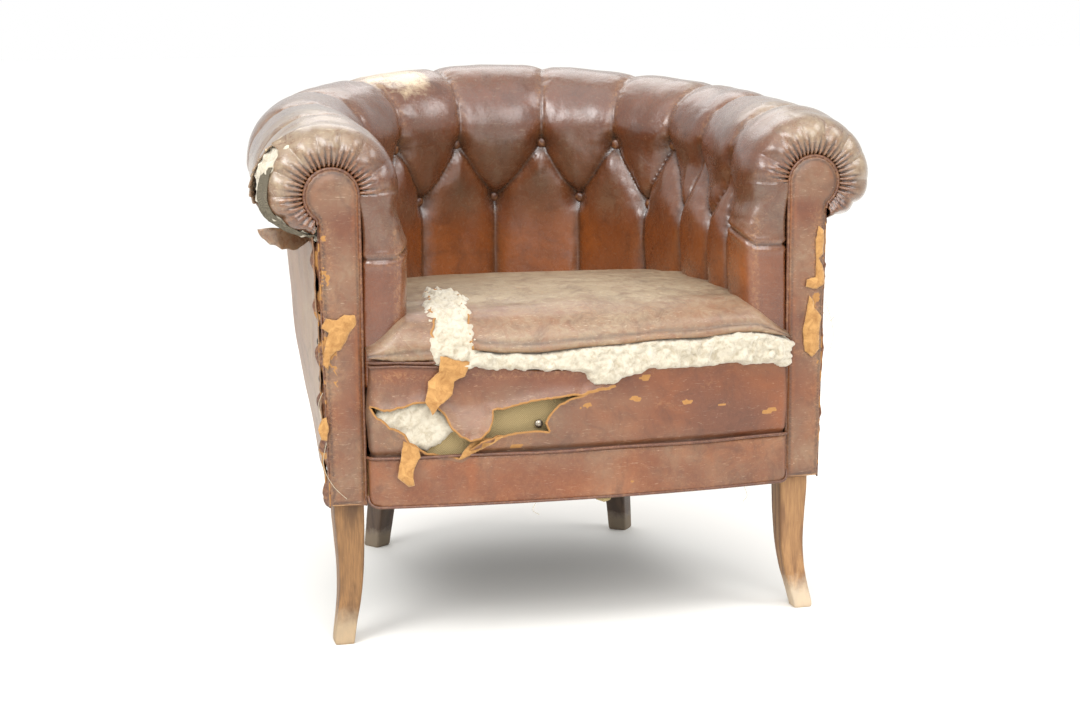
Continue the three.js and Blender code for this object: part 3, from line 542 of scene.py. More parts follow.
def worn_wood(name, light, dark, pale, gloss, foot_mm):
    """Open-grained hardwood under worn varnish, with its figure along the leg and its foot rubbed pale."""
    material, tree = new_material(name)
    where = node(tree, "ShaderNodeTexCoord").outputs["Object"]
    along = node(tree, "ShaderNodeMapping", {"Vector": where, "Scale": (1.0, 1.0, 0.16)}).outputs["Vector"]
    figure = node(tree, "ShaderNodeTexWave", {"Vector": along, "Scale": 24.0, "Distortion": 9.0, "Detail": 4.0,
                                              "Detail Scale": 1.6, "Detail Roughness": 0.6},
                  wave_type="RINGS").outputs["Fac"]
    pores = node(tree, "ShaderNodeMapping", {"Vector": where, "Scale": (1.0, 1.0, 0.05)}).outputs["Vector"]
    pores = ramp(tree, noise(tree, pores, 1.5, 4, 0.7), (0.40, 0), (0.55, 1))
    colour = mix(tree, maths(tree, "MULTIPLY", figure, 0.9), light, dark)
    colour = mix(tree, maths(tree, "MULTIPLY_ADD", pores, -0.4), colour, dark)
    colour.node.inputs["Factor"].links[0].from_node.inputs[2].default_value = 0.4
    height = node(tree, "ShaderNodeSeparateXYZ", {"Vector": where}).outputs["Z"]
    ragged_height = maths(tree, "ADD", height, maths(tree, "MULTIPLY", noise(tree, where, 12, 5, 0.7), -0.03))
    foot = node(tree, "ShaderNodeMapRange", {"Value": ragged_height, "From Min": foot_mm * MM,
                                             "From Max": foot_mm * MM * 0.2, "To Min": 0.0, "To Max": 1.0}).outputs[0]
    knocks = ramp(tree, noise(tree, where, 5, 6, 0.75, 0.5), (0.66, 0), (0.72, 1))
    colour = mix(tree, maths(tree, "MULTIPLY", foot, 0.7), colour, pale)
    colour = mix(tree, maths(tree, "MULTIPLY", knocks, 0.5), colour, pale)
    normal = bump(tree, pores, 0.25, 0.5)
    finish_material(tree, node(tree, "ShaderNodeBsdfPrincipled", {
        "Base Color": colour, "Roughness": maths(tree, "MAXIMUM", maths(tree, "MULTIPLY", foot, 0.8), gloss),
        "IOR": 1.5, "Normal": normal}))
    return material


def plain_metal(name, hex_value, roughness):
    """Plain drawn or stamped steel, dulled by age."""
    material, tree = new_material(name)
    where = node(tree, "ShaderNodeTexCoord").outputs["Object"]
    tarnish = ramp(tree, noise(tree, where, 3, 5, 0.7), (0.4, 0), (0.7, 1))
    colour = mix(tree, tarnish, rgba(linear(hex_value)), rgba(linear("#4f3a2a")))
    finish_material(tree, node(tree, "ShaderNodeBsdfPrincipled", {
        "Base Color": colour, "Roughness": roughness, "Metallic": 1.0}))
    return material


# ------------------------------------------------------------------ the tub: arms and back in one buttoned cover
def centre_line():
    """The roll's centre line in plan, from the right facing round the back to the left one."""
    angles = np.linspace(0, math.pi, 900)
    curve = np.column_stack([312 * np.cos(angles), 240 + 300 * np.sin(angles)])
    right = np.column_stack([np.linspace(316, 312, 120)[:-1], np.linspace(0, 240, 120)[:-1]])
    line = np.vstack([right, curve, (right * (-1, 1))[::-1]])
    along = np.concatenate([[0], np.cumsum(np.linalg.norm(np.diff(line, axis=0), axis=1))])
    return line, along


LINE, ALONG = centre_line()
ROUND = float(ALONG[-1])
HALF = ROUND / 2
SECTION_STEPS = 15
FRONT_ROLL = ((9, 34.2), (4, 37), (1, 42), (-1, 50), (-1, 58), (3, 67), (11, 76), (25, 83), (45, 86))
FRONT_PAD = ((9, 35.5), (4, 40), (1, 48), (0, 58), (1, 68), (4, 77), (9, 83), (22, 89), (45, 91))


def on_line(d):
    """Plan position and outward direction at distances round the centre line, straight on beyond its ends."""
    inner = np.clip(d, 0, ROUND)
    over = d - inner
    x, y = np.interp(inner, ALONG, LINE[:, 0]), np.interp(inner, ALONG, LINE[:, 1])
    ahead, behind = np.clip(inner + 6, 0, ROUND), np.clip(inner - 6, 0, ROUND)
    tx = np.interp(ahead, ALONG, LINE[:, 0]) - np.interp(behind, ALONG, LINE[:, 0])
    ty = np.interp(ahead, ALONG, LINE[:, 1]) - np.interp(behind, ALONG, LINE[:, 1])
    length = np.hypot(tx, ty)
    tx, ty = tx / length, ty / length
    return x + tx * over, y + ty * over, ty, -tx


def round_tub(front, corner, back, from_front):
    """A size that runs smoothly from the fronts of the arms through the corners to the middle of the back."""
    first = front + (corner - front) * smooth(from_front / CORNER_AT)
    second = corner + (back - corner) * smooth((from_front - CORNER_AT) / (HALF - CORNER_AT))
    return np.where(from_front < CORNER_AT, first, second)


def roll_height(from_front):
    share = 1 - np.clip(from_front / HALF, 0, 1)
    return ROLL_Z + ROLL_RISE * (1 - share**1.35)


def section(r, pad, z, from_front, share=0.62):
    """Control points (offset outwards, height) from the seat up the inside and over the roll to its tuck."""
    roll_start = (r * math.cos(ROLL_START), z + r * math.sin(ROLL_START))
    low, middle, high = PAD_HEIGHTS
    points = [(-pad, low), (-pad, middle), (-pad - 2, high),
              ((roll_start[0] - pad) / 2 - 3, (high + roll_start[1]) / 2)]
    points += [(r * math.cos(a), z + r * math.sin(a)) for a in np.linspace(ROLL_START, 0, 9)]
    top = float(round_tub(18, 34, 40, from_front))
    tuck = math.acos(min(0.98, (top + 3) / r))
    for part in (0.35, 0.7, 1.0):
        points.append((r * math.cos(-tuck * part), z + r * math.sin(-tuck * part) * share))
    return points


def control_rows():
    """Control points of the whole tub: rows of (distance, offset, height)."""
    rows = []
    for (roll_y, r), (pad_y, pad) in zip(FRONT_ROLL, FRONT_PAD):
        points = section(r, pad, ROLL_Z, 0.0, 0.62 + 0.38 * (1 - smooth((r - 34) / 50)))
        blend = [0, 0, 0, 0.6] + [1] * 12
        rows.append([(pad_y + (roll_y - pad_y) * b, *p) for b, p in zip(blend, points)])
    for d in np.linspace(70, HALF, 30):
        r = float(round_tub(86, 79.5, 86.5, d))
        pad = float(round_tub(92, 102, 46, d))
        rows.append([(d, *p) for p in section(r, pad, float(roll_height(d)), d)])
    rows = np.array(rows)
    mirrored = rows[:-1][::-1].copy()
    mirrored[:, :, 0] = ROUND - mirrored[:, :, 0]
    return np.concatenate([rows, mirrored])


def catmull(points, at):
    """Points on the Catmull-Rom curve through the first axis of points, at fractional indices."""
    n = len(points)
    i = np.clip(np.floor(at).astype(int), 0, n - 2)
    t = (at - i).reshape((-1,) + (1,) * (points.ndim - 1))
    a, b, c, d = (points[np.clip(i + k, 0, n - 1)] for k in (-1, 0, 1, 2))
    return 0.5 * (2 * b + (c - a) * t + (2 * a - 5 * b + 4 * c - d) * t**2 + (3 * b - a - 3 * c + d) * t**3)


TUB_CONTROLS = control_rows()
ROW_D = TUB_CONTROLS[:, 8, 0]


def row_at(d):
    """The fractional control row at a distance round the tub, away from the two rounded fronts."""
    steady = np.arange(7, len(ROW_D) - 7)
    return np.interp(d, ROW_D[steady], steady)


def tub_surface(rows, steps):
    """Points of the tub's plain surface and its outward normals, at fractional rows and section steps."""
    def point(r, w):
        r = np.clip(r, 0, len(TUB_CONTROLS) - 1)
        by_row = catmull(TUB_CONTROLS, r)
        n = by_row.shape[1]
        i = np.clip(np.floor(w).astype(int), 0, n - 2)
        t = (w - i)[:, None]
        k = np.arange(len(w))
        a, b, c, d = (by_row[k, np.clip(i + m, 0, n - 1)] for m in (-1, 0, 1, 2))
        a = np.where((i == 0)[:, None], 2 * b - c, a)
        p = 0.5 * (2 * b + (c - a) * t + (2 * a - 5 * b + 4 * c - d) * t**2 + (3 * b - a - 3 * c + d) * t**3)
        x, y, nx, ny = on_line(p[:, 0])
        return np.column_stack([x + nx * p[:, 1], y + ny * p[:, 1], p[:, 2]])
    rows, steps = np.asarray(rows, float), np.asarray(steps, float)
    base = point(rows, steps)
    last = len(TUB_CONTROLS) - 1
    du = point(np.minimum(rows + 0.15, last), steps) - point(np.maximum(rows - 0.15, 0), steps)
    dv = point(rows, np.minimum(steps + 0.1, SECTION_STEPS)) - point(rows, np.maximum(steps - 0.1, 0))
    normal = np.cross(dv, du)
    normal /= np.maximum(np.linalg.norm(normal, axis=1), 1e-6)[:, None]
    return base, normal


def step_at(d, z):
    """The section step on the inside of the tub at a height."""
    steps = np.linspace(0, 6, 400)
    base, _ = tub_surface(np.full(400, row_at(d)), steps)
    return float(steps[int(np.argmin(np.abs(base[:, 2] - z)))])


UPPER_ALONG = (82, 225, 355, 478, 612)
LOWER_ALONG = (0, 145, 300, 465, 569, 637)
UPPER_Z, LOWER_Z = 601.0, 518.0


def button_places():
    """Distance and section step of each button by its node's name."""
    places = {"button_lower_middle": (HALF, step_at(HALF, LOWER_Z))}
    for row, alongs, z in (("upper", UPPER_ALONG, UPPER_Z), ("lower", LOWER_ALONG[1:], LOWER_Z)):
        for k, along in enumerate(alongs, 1):
            for word, side in (("left", 1), ("right", -1)):
                d = HALF + side * along
                places[f"button_{row}_{word}_{k}"] = (d, step_at(d, z))
    return places


def crease_lines(places):
    """The folds between buttons, down to the seat and over the roll, as chair points on the plain surface."""
    flat = []
    for word in ("left", "right"):
        lower = [places["button_lower_middle"]] + [places[f"button_lower_{word}_{k}"] for k in range(1, 6)]
        upper = [places[f"button_upper_{word}_{k}"] for k in range(1, 6)]
        flat += [(lower[k], upper[k]) for k in range(5)]
        flat += [(lower[k], upper[k - 1]) for k in range(1, 6)]
        flat += [(one, (one[0], 0.0)) for one in (lower if word == "left" else lower[1:])]
        flat += [(one, (one[0] + (4 if word == "left" else -4), 15.0)) for one in upper]
    lines = []
    for (d0, w0), (d1, w1) in flat:
        t = np.linspace(0, 1, 15)
        line, _ = tub_surface(row_at(d0 + (d1 - d0) * t), w0 + (w1 - w0) * t)
        lines.append(line)
    return lines


def front_seams(places):
    """The flat seam across the front of each arm's inside, from the last button to the facing."""
    seams = []
    for word, end in (("left", len(ROW_D) - 1), ("right", 0)):
        d, w = places[f"button_lower_{word}_5"]
        start = float(row_at(d))
        t = np.linspace(0, 1, 24)
        rows = start + (end - start) * t
        line, _ = tub_surface(rows, w + (step_at(20 if word == "right" else ROUND - 20, 496) - w) * smooth(t * 2))
        seams.append(line)
    return seams


SLIT = ((6.7, 10.4), (7.1, 10.3), (7.6, 10.9), (8.2, 11.6), (8.75, 12.6), (9.1, 13.8), (8.9, 15.4), (6.6, 15.4),
        (6.1, 14.6), (6.35, 13.4), (6.5, 12.2), (6.6, 11.2))


def tub_relief(base, rows, steps, sizes, places):
    """How far each point of the tub rises or sinks from its plain surface, and its wear, tone, painted shade and
    painted sheen.
    """
    lines = crease_lines(places)
    near = np.full(len(base), 1e9)
    for line in lines:
        near = np.minimum(near, edge_distance(line, base, closed=False))
    seams = front_seams(places)
    seam = np.full(len(base), 1e9)
    for line in seams:
        seam = np.minimum(seam, edge_distance(line, base, closed=False))
    buttons = np.array([tub_surface([row_at(d)], [w])[0][0] for d, w in places.values()])
    to_button = np.min(np.linalg.norm(base[:, None, :] - buttons[None], axis=2), axis=1)
    on_roll = smooth((steps - 3.4) / 3.6)
    reach = 46 - 8 * on_roll
    swell = 1 - (1 - np.clip(near / reach, 0, 1)) ** 2
    height = (sizes.tuft_depth / MM) * (1 - on_roll) + 8 * on_roll
    fade_out = 1 - 0.55 * smooth((steps - 11) / 4)
    relief = (np.sqrt(swell) - 0.72) * height * fade_out
    pit = np.exp(-((to_button / 15) ** 2))
    relief -= 9 * pit
    front = np.minimum(rows, len(ROW_D) - 1 - rows)
    panel = smooth((7.5 - front) / 3)
    relief = relief * (1 - panel * 0.9)
    # Fine tension wrinkles that run out of each pleat and button.
    wrinkle = rough_noise(base * (1, 1, 0.45), 17, 3, 3) * np.exp(-near / 26) * 3.2
    sag = rough_noise(base, 70, 3, 4) * 2.0
    relief += (wrinkle + sag) * (0.35 + 0.65 * smooth(front / 6))
    relief -= 3.2 * np.exp(-((seam / 2.6) ** 2)) - 1.3 * np.exp(-(((seam - 6) / 4) ** 2))
    # Gathers: leather pleated round the facing's head, each fold about 5 mm across at the head.
    side = np.where(base[:, 0] > 0, 1, -1)
    ax, az = base[:, 0] * side - HEAD[0], base[:, 2] - HEAD[1]
    angle, radius = np.arctan2(az, ax), np.hypot(ax, az)
    uneven = rough_noise(np.column_stack([angle * 30, side * 50, radius * 0]), 20, 2, 7)
    turn = angle / math.radians(8.2) + 0.55 * uneven
    fold = np.abs(np.sin(math.pi * turn)) ** 0.6
    length = 52 + 9 * soft_noise(np.column_stack([np.floor(turn) * 9.1, side * 13, radius * 0]), 4, 9)
    at_front = (base[:, 1] < 46) * (steps > 3.2) * smooth((np.degrees(angle) + 150) / 20) \
        * smooth((np.abs(np.degrees(angle) - 70) < 140).astype(float)) * smooth((210 - np.degrees(angle)) / 30)
    gathered = at_front * (1 - smooth((radius - length + 12) / 26))
    relief += gathered * (fold - 0.75) * (sizes.gather_depth / MM) * (1.25 - 0.4 * smooth((radius - 42) / 14))
    coarse = np.abs(np.sin(math.pi * turn / 3.1)) ** 0.8
    outer_fold = at_front * np.exp(-(((radius - 66) / 14) ** 2))
    relief += outer_fold * (coarse - 0.6) * 5.6
    crease = np.exp(-near / 5.5)
    arms = smooth((260 - base[:, 1]) / 170)
    marks = {
        # Painted shade: dark in the creases, the gathers' slots, the button pits and along the seams.
        "fold": np.clip(crease * (1 - 0.5 * on_roll) + gathered * (1 - fold) * 2.6 + pit * 0.6
                        + 0.8 * np.exp(-seam / 2.0), 0, 1),
        "worn": np.clip(np.exp(-(((near - 5) / 4) ** 2)) * 0.8 * (0.35 + 0.65 * on_roll)
                        + gathered * fold * 0.8 + outer_fold * 0.35
                        + np.exp(-(((seam - 5) / 3) ** 2)) * 0.5
                        + np.exp(-((base[:, 1] - 3) / 5) ** 2) * (np.abs(np.abs(base[:, 0]) - 233) < 8) * 0.8, 0, 1),
        # Partly real fading and partly painted sheen: the roll's top is greyed, more on the arms, less where it turns
        # down outside.
        "fade": np.clip(smooth((steps - 5.5) / 3) * (0.62 + 0.35 * rough_noise(base, 60, 3, 12))
                        * (1 - 0.75 * smooth((steps - 11) / 2.5)) * (1 - 0.7 * gathered) * (0.4 + 0.6 * arms), 0, 1),
        "warm": np.clip(smooth((LOWER_Z + 40 - base[:, 2]) / 110) * (0.75 + 0.4 * rough_noise(base, 55, 3, 15))
                        * (1 - 0.55 * panel)
                        + gathered * 0.35 + 0.75 * np.exp(-near / 11) * (1 - 0.6 * on_roll), 0, 1),
    }
    # Painted highlight: the crowns of the upper pads are greyed a little more.
    marks["fade"] = np.clip(marks["fade"] + 0.14 * swell * smooth((base[:, 2] - 470) / 60) * (1 - on_roll)
                            * (0.7 + rough_noise(base, 50, 3, 23)), 0, 1)
    pale = np.exp(-(((base[:, 0] + 158) / 50) ** 2) - (((base[:, 1] - 482) / 48) ** 2))
    pale *= smooth((base[:, 2] - 640) / 40)
    marks["chalk"] = np.clip(pale * (1.1 + 0.9 * rough_noise(base * (1, 1, 0.5), 24, 4, 21)), 0, 1)
    spots = np.exp(-(((base[:, 0] + 372) / 22) ** 2) - (((base[:, 1] - 34) / 16) ** 2)) * (base[:, 2] > 560)
    marks["chalk"] = np.clip(marks["chalk"] + 1.6 * spots * (rough_noise(base, 9, 3, 22) > 0.3), 0, 1)
    return relief, marks


class CHAIR_OT_tub(bpy.types.Operator):
    """Upholsters the arms and back: one hide, deep buttoned inside and gathered on to the facings"""

    bl_idname = "chair.tub"
    bl_label = "Buttoned tub"

    def execute(self, context):
        sizes, colours = context.scene.chair_sizes, context.scene.chair_colours
        last = len(ROW_D) - 1
        front_rows = np.linspace(0, 8, 26)[:-1]
        middle_rows = np.linspace(8, last - 8, 300)
        rows_at = np.concatenate([front_rows, middle_rows, (last - front_rows)[::-1]])
        steps_at = np.concatenate([np.linspace(0, 3, 58)[:-1], np.linspace(3, 13, 186)[:-1], np.linspace(13, 15, 14)])
        piece, row, col = add_grid("tub_leather", len(rows_at), len(steps_at))
        rows, steps = rows_at[row], steps_at[col]
        base, normal = tub_surface(rows, steps)
        places = button_places()
        relief, marks = tub_relief(base, rows, steps, sizes, places)
        # The cover lifts away along the slit on the left arm.
        flat = np.column_stack([last - rows, steps])
        slit = ragged(SLIT, 0.25, 0.10, 40)
        to_slit = edge_distance(slit, flat)
        left = rows > last / 2
        behind = (last - rows) > 7.2
        relief += np.where(left, np.exp(-to_slit / 0.45) * np.where(behind, 13.0, 2.0), 0)
        marks["worn"] = np.clip(marks["worn"] + left * np.exp(-to_slit / 0.16), 0, 1)
        set_points(piece, base + normal * relief[:, None])
        for name, values in marks.items():
            paint(piece, name, values)
        hole = left & inside(slit, flat)
        mesh = bmesh.new()
        mesh.from_mesh(piece.data)
        mesh.verts.ensure_lookup_table()
        bmesh.ops.delete(mesh, geom=[mesh.verts[int(k)] for k in np.flatnonzero(hole)], context="VERTS")
        torn = [v for v in mesh.verts if v.is_boundary and v.co.x < 0 and 0.48 < v.co.z < 0.66
                and v.co.y < FRONT_Y + 0.2]
        for _ in range(5):
            bmesh.ops.smooth_vert(mesh, verts=torn, factor=0.5, use_axis_x=True, use_axis_y=True, use_axis_z=True)
        mesh.to_mesh(piece.data)
        mesh.free()
        if piece.data.polygons[0].normal.dot(Vector(normal[0])) < 0:
            in_edit_mode(piece, lambda: bpy.ops.mesh.flip_normals())
        solid = piece.modifiers.new("thickness", "SOLIDIFY")
        solid.thickness = TUB_HIDE * MM
        solid.offset = -1
        solid.material_offset = solid.material_offset_rim = 1
        apply_modifiers(piece)
        leather = aged_leather("waxed hide, buttoned", colours, coat=0.75)
        finish_piece(piece, [leather, flesh_side("flesh side, tub")], "tufted_leather",
                     "tub_cover", "arm_stuffing_left", "arm_stuffing_right", "back_stuffing")

        def place(flat, out):
            base, normal = tub_surface(last - flat[:, 0], flat[:, 1])
            return base + normal * np.asarray(out)[:, None]
        stuffing = wadding_patch("arm_wadding", [(6.0, 9.6), (8.2, 9.6), (10.0, 11.4), (10.2, 15.3), (5.6, 15.3)],
                                 place, colours, spacing=0.07, low=-7, rise=10, amount=4.0, reach=0.7)
        edge = cut_sheet("arm_hessian",
                         ragged([(6.0, 10.9), (7.0, 11.1), (7.5, 12.2), (7.6, 13.2), (7.4, 14.2), (7.2, 15.2),
                                                (5.6, 15.3)], 0.25, 0.12, 41), [], 0.09,
                         lambda flat: place(flat, 4.5 + 3.0 * rough_noise(place(flat, 0 * flat[:, 0]), 8, 3, 8)),
                         1.2 * MM)
        # Painted shade: this hessian is coloured much darker and greyer than the border's, to stand for the shade
        # inside the slit.
        cloth = woven_cloth("hessian, arm, darkened as shade", rgba(linear("#8f8673")), rgba(linear("#403a2d")), 2.4)
        finish_piece(edge, [cloth, cloth], "hessian")
        # The torn tongue of hide that hangs from the slit's lower end, in the plane across the arm's front.
        tongue = [(-404, 535), (-398, 524), (-388, 513), (-374, 506), (-352, 508), (-328, 516), (-326, 526),
                  (-350, 529), (-374, 532), (-390, 533)]

        def hang(flat):
            y = 46 + 30 * smooth((flat[:, 0] + 402) / 70) - 8 * np.sin((flat[:, 0] + 402) / 22)
            return np.column_stack([flat[:, 0], y, flat[:, 1] + 2.5 * np.sin(flat[:, 0] / 9)])
        tongue = ragged(tongue, 4, 2.0, 42)
        flap = cut_sheet("arm_torn_tongue", tongue, [], 3.2, hang, 2 * MM, lambda flat: {
            "fade": np.full(len(flat), 0.35), "worn": 0.3 + np.exp(-edge_distance(tongue, flat) / 3)})
        finish_piece(flap, [leather, flesh_side("flesh side, tongue")], "tufted_leather")
        return {"FINISHED"}


def wadding_patch(name, polygon, place, colours, spacing=2.4, low=-6.0, rise=12.0, amount=4.0, reach=14.0,
                  thick=6.0, grain=17.0, seed=60):
    """Wadding that bulges out of an opening: a lumpy, closed pad over a flat outline."""
    outline = ragged(polygon, spacing * 1.6, spacing * 1.9, seed)

    def puffed(flat):
        near = np.clip(edge_distance(outline, flat) / reach, 0, 1)
        here = place(flat, np.zeros(len(flat)))
        lumps = rough_noise(here, grain * 2.2, 2, seed + 3) * amount * 1.1
        lumps += (2.4 * np.abs(rough_noise(here, grain, 3, seed + 4)) - 0.6) * amount * 1.1
        lumps += (2 * np.abs(rough_noise(here, 6, 2, seed + 5)) - 0.5) * amount * 0.35
        return place(flat, low + rise * np.sqrt(1 - (1 - near) ** 2) + lumps * (0.3 + 0.7 * near))
    piece = cut_sheet(name, outline, [], spacing, puffed, thick * MM)
    cotton = bpy.data.materials.get("cotton wadding") or cotton_wadding("cotton wadding", colours)
    finish_piece(piece, [cotton, cotton], "wadding")
    return piece


class CHAIR_OT_buttons(bpy.types.Operator):
    """Sets the covered buttons in their pits"""

    bl_idname = "chair.buttons"
    bl_label = "Covered buttons"

    def execute(self, context):
        sizes, colours = context.scene.chair_sizes, context.scene.chair_colours
        radius = sizes.button / 2 / MM
        hide = aged_leather("waxed hide, buttons", colours, gloss=0.3, flatten=0.6)
        places = button_places()
        points, faces = [], []
        profile = [(1.0, -5.0), (1.04, -1.5), (1.0, 0.2), (0.86, 1.7), (0.6, 2.9), (0.32, 3.5)]
        around = 20
        for share, rise in profile:
            points += [(radius * share * math.cos(2 * math.pi * k / around),
                        radius * share * math.sin(2 * math.pi * k / around), rise) for k in range(around)]
        for level in range(len(profile) - 1):
            faces += [(level * around + k, level * around + (k + 1) % around,
                       (level + 1) * around + (k + 1) % around, (level + 1) * around + k) for k in range(around)]
        points.append((0, 0, 3.7))
        top = len(points) - 1
        faces += [((len(profile) - 1) * around + k, (len(profile) - 1) * around + (k + 1) % around, top)
                  for k in range(around)]
        faces.append(tuple(range(around - 1, -1, -1)))
        points = np.array(points)
        for name, (d, w) in places.items():
            base, normal = tub_surface([row_at(d)], [w])
            n = normal[0]
            sideways = np.cross((0, 0, 1), n)
            sideways /= np.linalg.norm(sideways)
            upwards = np.cross(n, sideways)
            centre = base[0] - n * 15.5
            placed = centre + points[:, :1] * sideways + points[:, 1:2] * upwards + points[:, 2:] * n
            mesh = bpy.data.meshes.new("covered_" + name)
            mesh.from_pydata(metres(placed).tolist(), [], faces)
            piece = bpy.data.objects.new("covered_" + name, mesh)
            context.scene.collection.objects.link(piece)
            in_edit_mode(piece, face_outwards)
            paint(piece, "worn", np.where(points[:, 2] > 2, 0.9, 0.3))
            finish_piece(piece, hide, "button_leather", name)
        return {"FINISHED"}


# ------------------------------------------------------------------ the front: seat nose, border and band
def bow_y(x):
    share = np.clip(np.abs(x) / BORDER_HALF, 0, 1)
    return -BOW_END - (BOW - BOW_END) * (1 - share**2)


def front_path():
    """The bowed front in plan, with its rounded ends turned back at the facings."""
    straight, corner = BORDER_HALF - 11, 10.0
    x = np.linspace(-straight, straight, 200)
    middle = np.column_stack([x, bow_y(x)])
    turn = np.radians(np.linspace(0, 90, 12))
    right = np.column_stack([straight + corner * np.sin(turn), bow_y(straight) + corner * (1 - np.cos(turn))])
    right = np.vstack([right, [straight + corner, 14]])
    line = np.vstack([(right * (-1, 1))[::-1], middle, right])
    along = np.concatenate([[0], np.cumsum(np.linalg.norm(np.diff(line, axis=0), axis=1))])
    return line, along - along[-1] / 2


FRONT, FRONT_ALONG = front_path()


def on_front(flat, out):
    """Lays flat points (along the front, height) on the bowed front, out from it."""
    s = flat[:, 0]
    x, y = np.interp(s, FRONT_ALONG, FRONT[:, 0]), np.interp(s, FRONT_ALONG, FRONT[:, 1])
    tx = np.interp(s + 4, FRONT_ALONG, FRONT[:, 0]) - np.interp(s - 4, FRONT_ALONG, FRONT[:, 0])
    ty = np.interp(s + 4, FRONT_ALONG, FRONT[:, 1]) - np.interp(s - 4, FRONT_ALONG, FRONT[:, 1])
    length = np.maximum(np.hypot(tx, ty), 1e-6)
    return np.column_stack([x + ty / length * out, y - tx / length * out, flat[:, 1]])


LIP = ((-290, 372), (-273, 374), (-241, 370), (-192, 370), (-188, 375), (-149, 382), (-116, 377), (-64, 375),
       (-4, 379), (55, 381), (94, 384), (155, 383), (201, 387), (231, 386), (261, 380), (283, 374), (292, 373))
BORDER_TOP = ((-288, 364), (-241, 366), (-188, 363), (-152, 360), (-109, 358), (-75, 352), (-42, 350), (-7, 350),
              (19, 347), (55, 348), (98, 352), (155, 352), (197, 352), (257, 350), (288, 347))
BORDER_TEAR = ((-275, 312), (-253, 307), (-239, 311), (-224, 315), (-210, 317), (-196, 314), (-186, 302),
               (-177, 287), (-167, 275), (-154, 268), (-141, 270), (-130, 279), (-124, 292), (-122, 303), (-105, 306),
               (-61, 315), (-7, 318), (35, 327), (-4, 319), (-38, 308), (-51, 296), (-57, 285), (-51, 273),
               (-94, 274), (-135, 268), (-153, 254), (-164, 243), (-179, 246), (-207, 251), (-223, 262), (-230, 267),
               (-235, 278), (-253, 287), (-267, 299))
SEAT_PROFILE = ((-31, 362), (-34, 382), (-30, 396), (-19, 410), (2, 421), (40, 430), (100, 436.5), (200, 438),
                (300, 432), (400, 420), (505, 406))


def seat_profile():
    """The seat's fore-and-aft line through its middle, with distance along it."""
    controls = np.array(SEAT_PROFILE, float)
    line = catmull(controls, np.linspace(0, len(controls) - 1, 300))
    along = np.concatenate([[0], np.cumsum(np.linalg.norm(np.diff(line, axis=0), axis=1))])
    return line, along


SEAT, SEAT_ALONG = seat_profile()


def seat_run(y):
    """How far back along the seat's line a depth is, from its lip."""
    start = int(np.argmin(SEAT[:, 0]))
    return float(np.interp(y, SEAT[start:, 0], SEAT_ALONG[start:]))


def on_seat(flat, out):
    """Lays flat points (across, distance back from the lip) on the seat's crowned top."""
    x, t = flat[:, 0], flat[:, 1]
    y, z = np.interp(t, SEAT_ALONG, SEAT[:, 0]), np.interp(t, SEAT_ALONG, SEAT[:, 1])
    wing = 1 - 0.80 * smooth((np.abs(x) - 224) / 62)
    lip = np.interp(x, *np.array(LIP).T)
    z = lip + (z - lip) * np.where(z > lip, wing, 1)
    z = z - 7 * (np.clip(np.abs(x) / 235, 0, 1) ** 3) * smooth((y - 5) / 60) * (np.abs(x) < 245)
    y = y + (bow_y(x) + BOW) * (1 - smooth((t - 40) / 120))
    dy = np.interp(t + 3, SEAT_ALONG, SEAT[:, 0]) - np.interp(t - 3, SEAT_ALONG, SEAT[:, 0])
    dz = np.interp(t + 3, SEAT_ALONG, SEAT[:, 1]) - np.interp(t - 3, SEAT_ALONG, SEAT[:, 1])
    length = np.maximum(np.hypot(dy, dz), 1e-6)
    return np.column_stack([x, y - dz / length * out, z + dy / length * out])


def seat_outline():
    """The seat hide's outline: the lip, the wings in front of the arms and the back under the tub."""
    def run_at_height(z):
        return np.interp(z, SEAT[:40, 1], SEAT_ALONG[:40])
    front = [(x, run_at_height(z)) for x, z in LIP if abs(x) <= 276]
    front = [(-279, front[0][1])] + front + [(279, front[-1][1])]
    side = [(279, 62), (262, 64), (243, 68), (240, 110)]
    back = []
    for d in np.linspace(150, ROUND - 150, 40):
        x, y, nx, ny = on_line(np.array([d]))
        back.append((float(x[0] + nx[0] * -34), seat_run(float(y[0] + ny[0] * -34))))
    back = [b for b in back if abs(b[0]) < 278]
    outline = front + side + [b for b in back if b[1] > 120 or abs(b[0]) < 240] + [(-x, t) for x, t in side[::-1]]
    return outline


def line_along(points, step):
    """Evenly spaced points on a polyline."""
    points = np.asarray(points, float)
    along = np.concatenate([[0], np.cumsum(np.linalg.norm(np.diff(points, axis=0), axis=1))])
    at = np.linspace(0, along[-1], max(2, int(along[-1] / step)))
    return np.column_stack([np.interp(at, along, points[:, k]) for k in range(points.shape[1])])


SEAT_TEAR = ((-186, -20), (-190, 24), (-197, 44), (-190, 66), (-190, 100), (-182, 140), (-177, 196), (-160, 200),
             (-149, 180), (-142, 142), (-150, 106), (-147, 74), (-150, 44), (-148, -20))


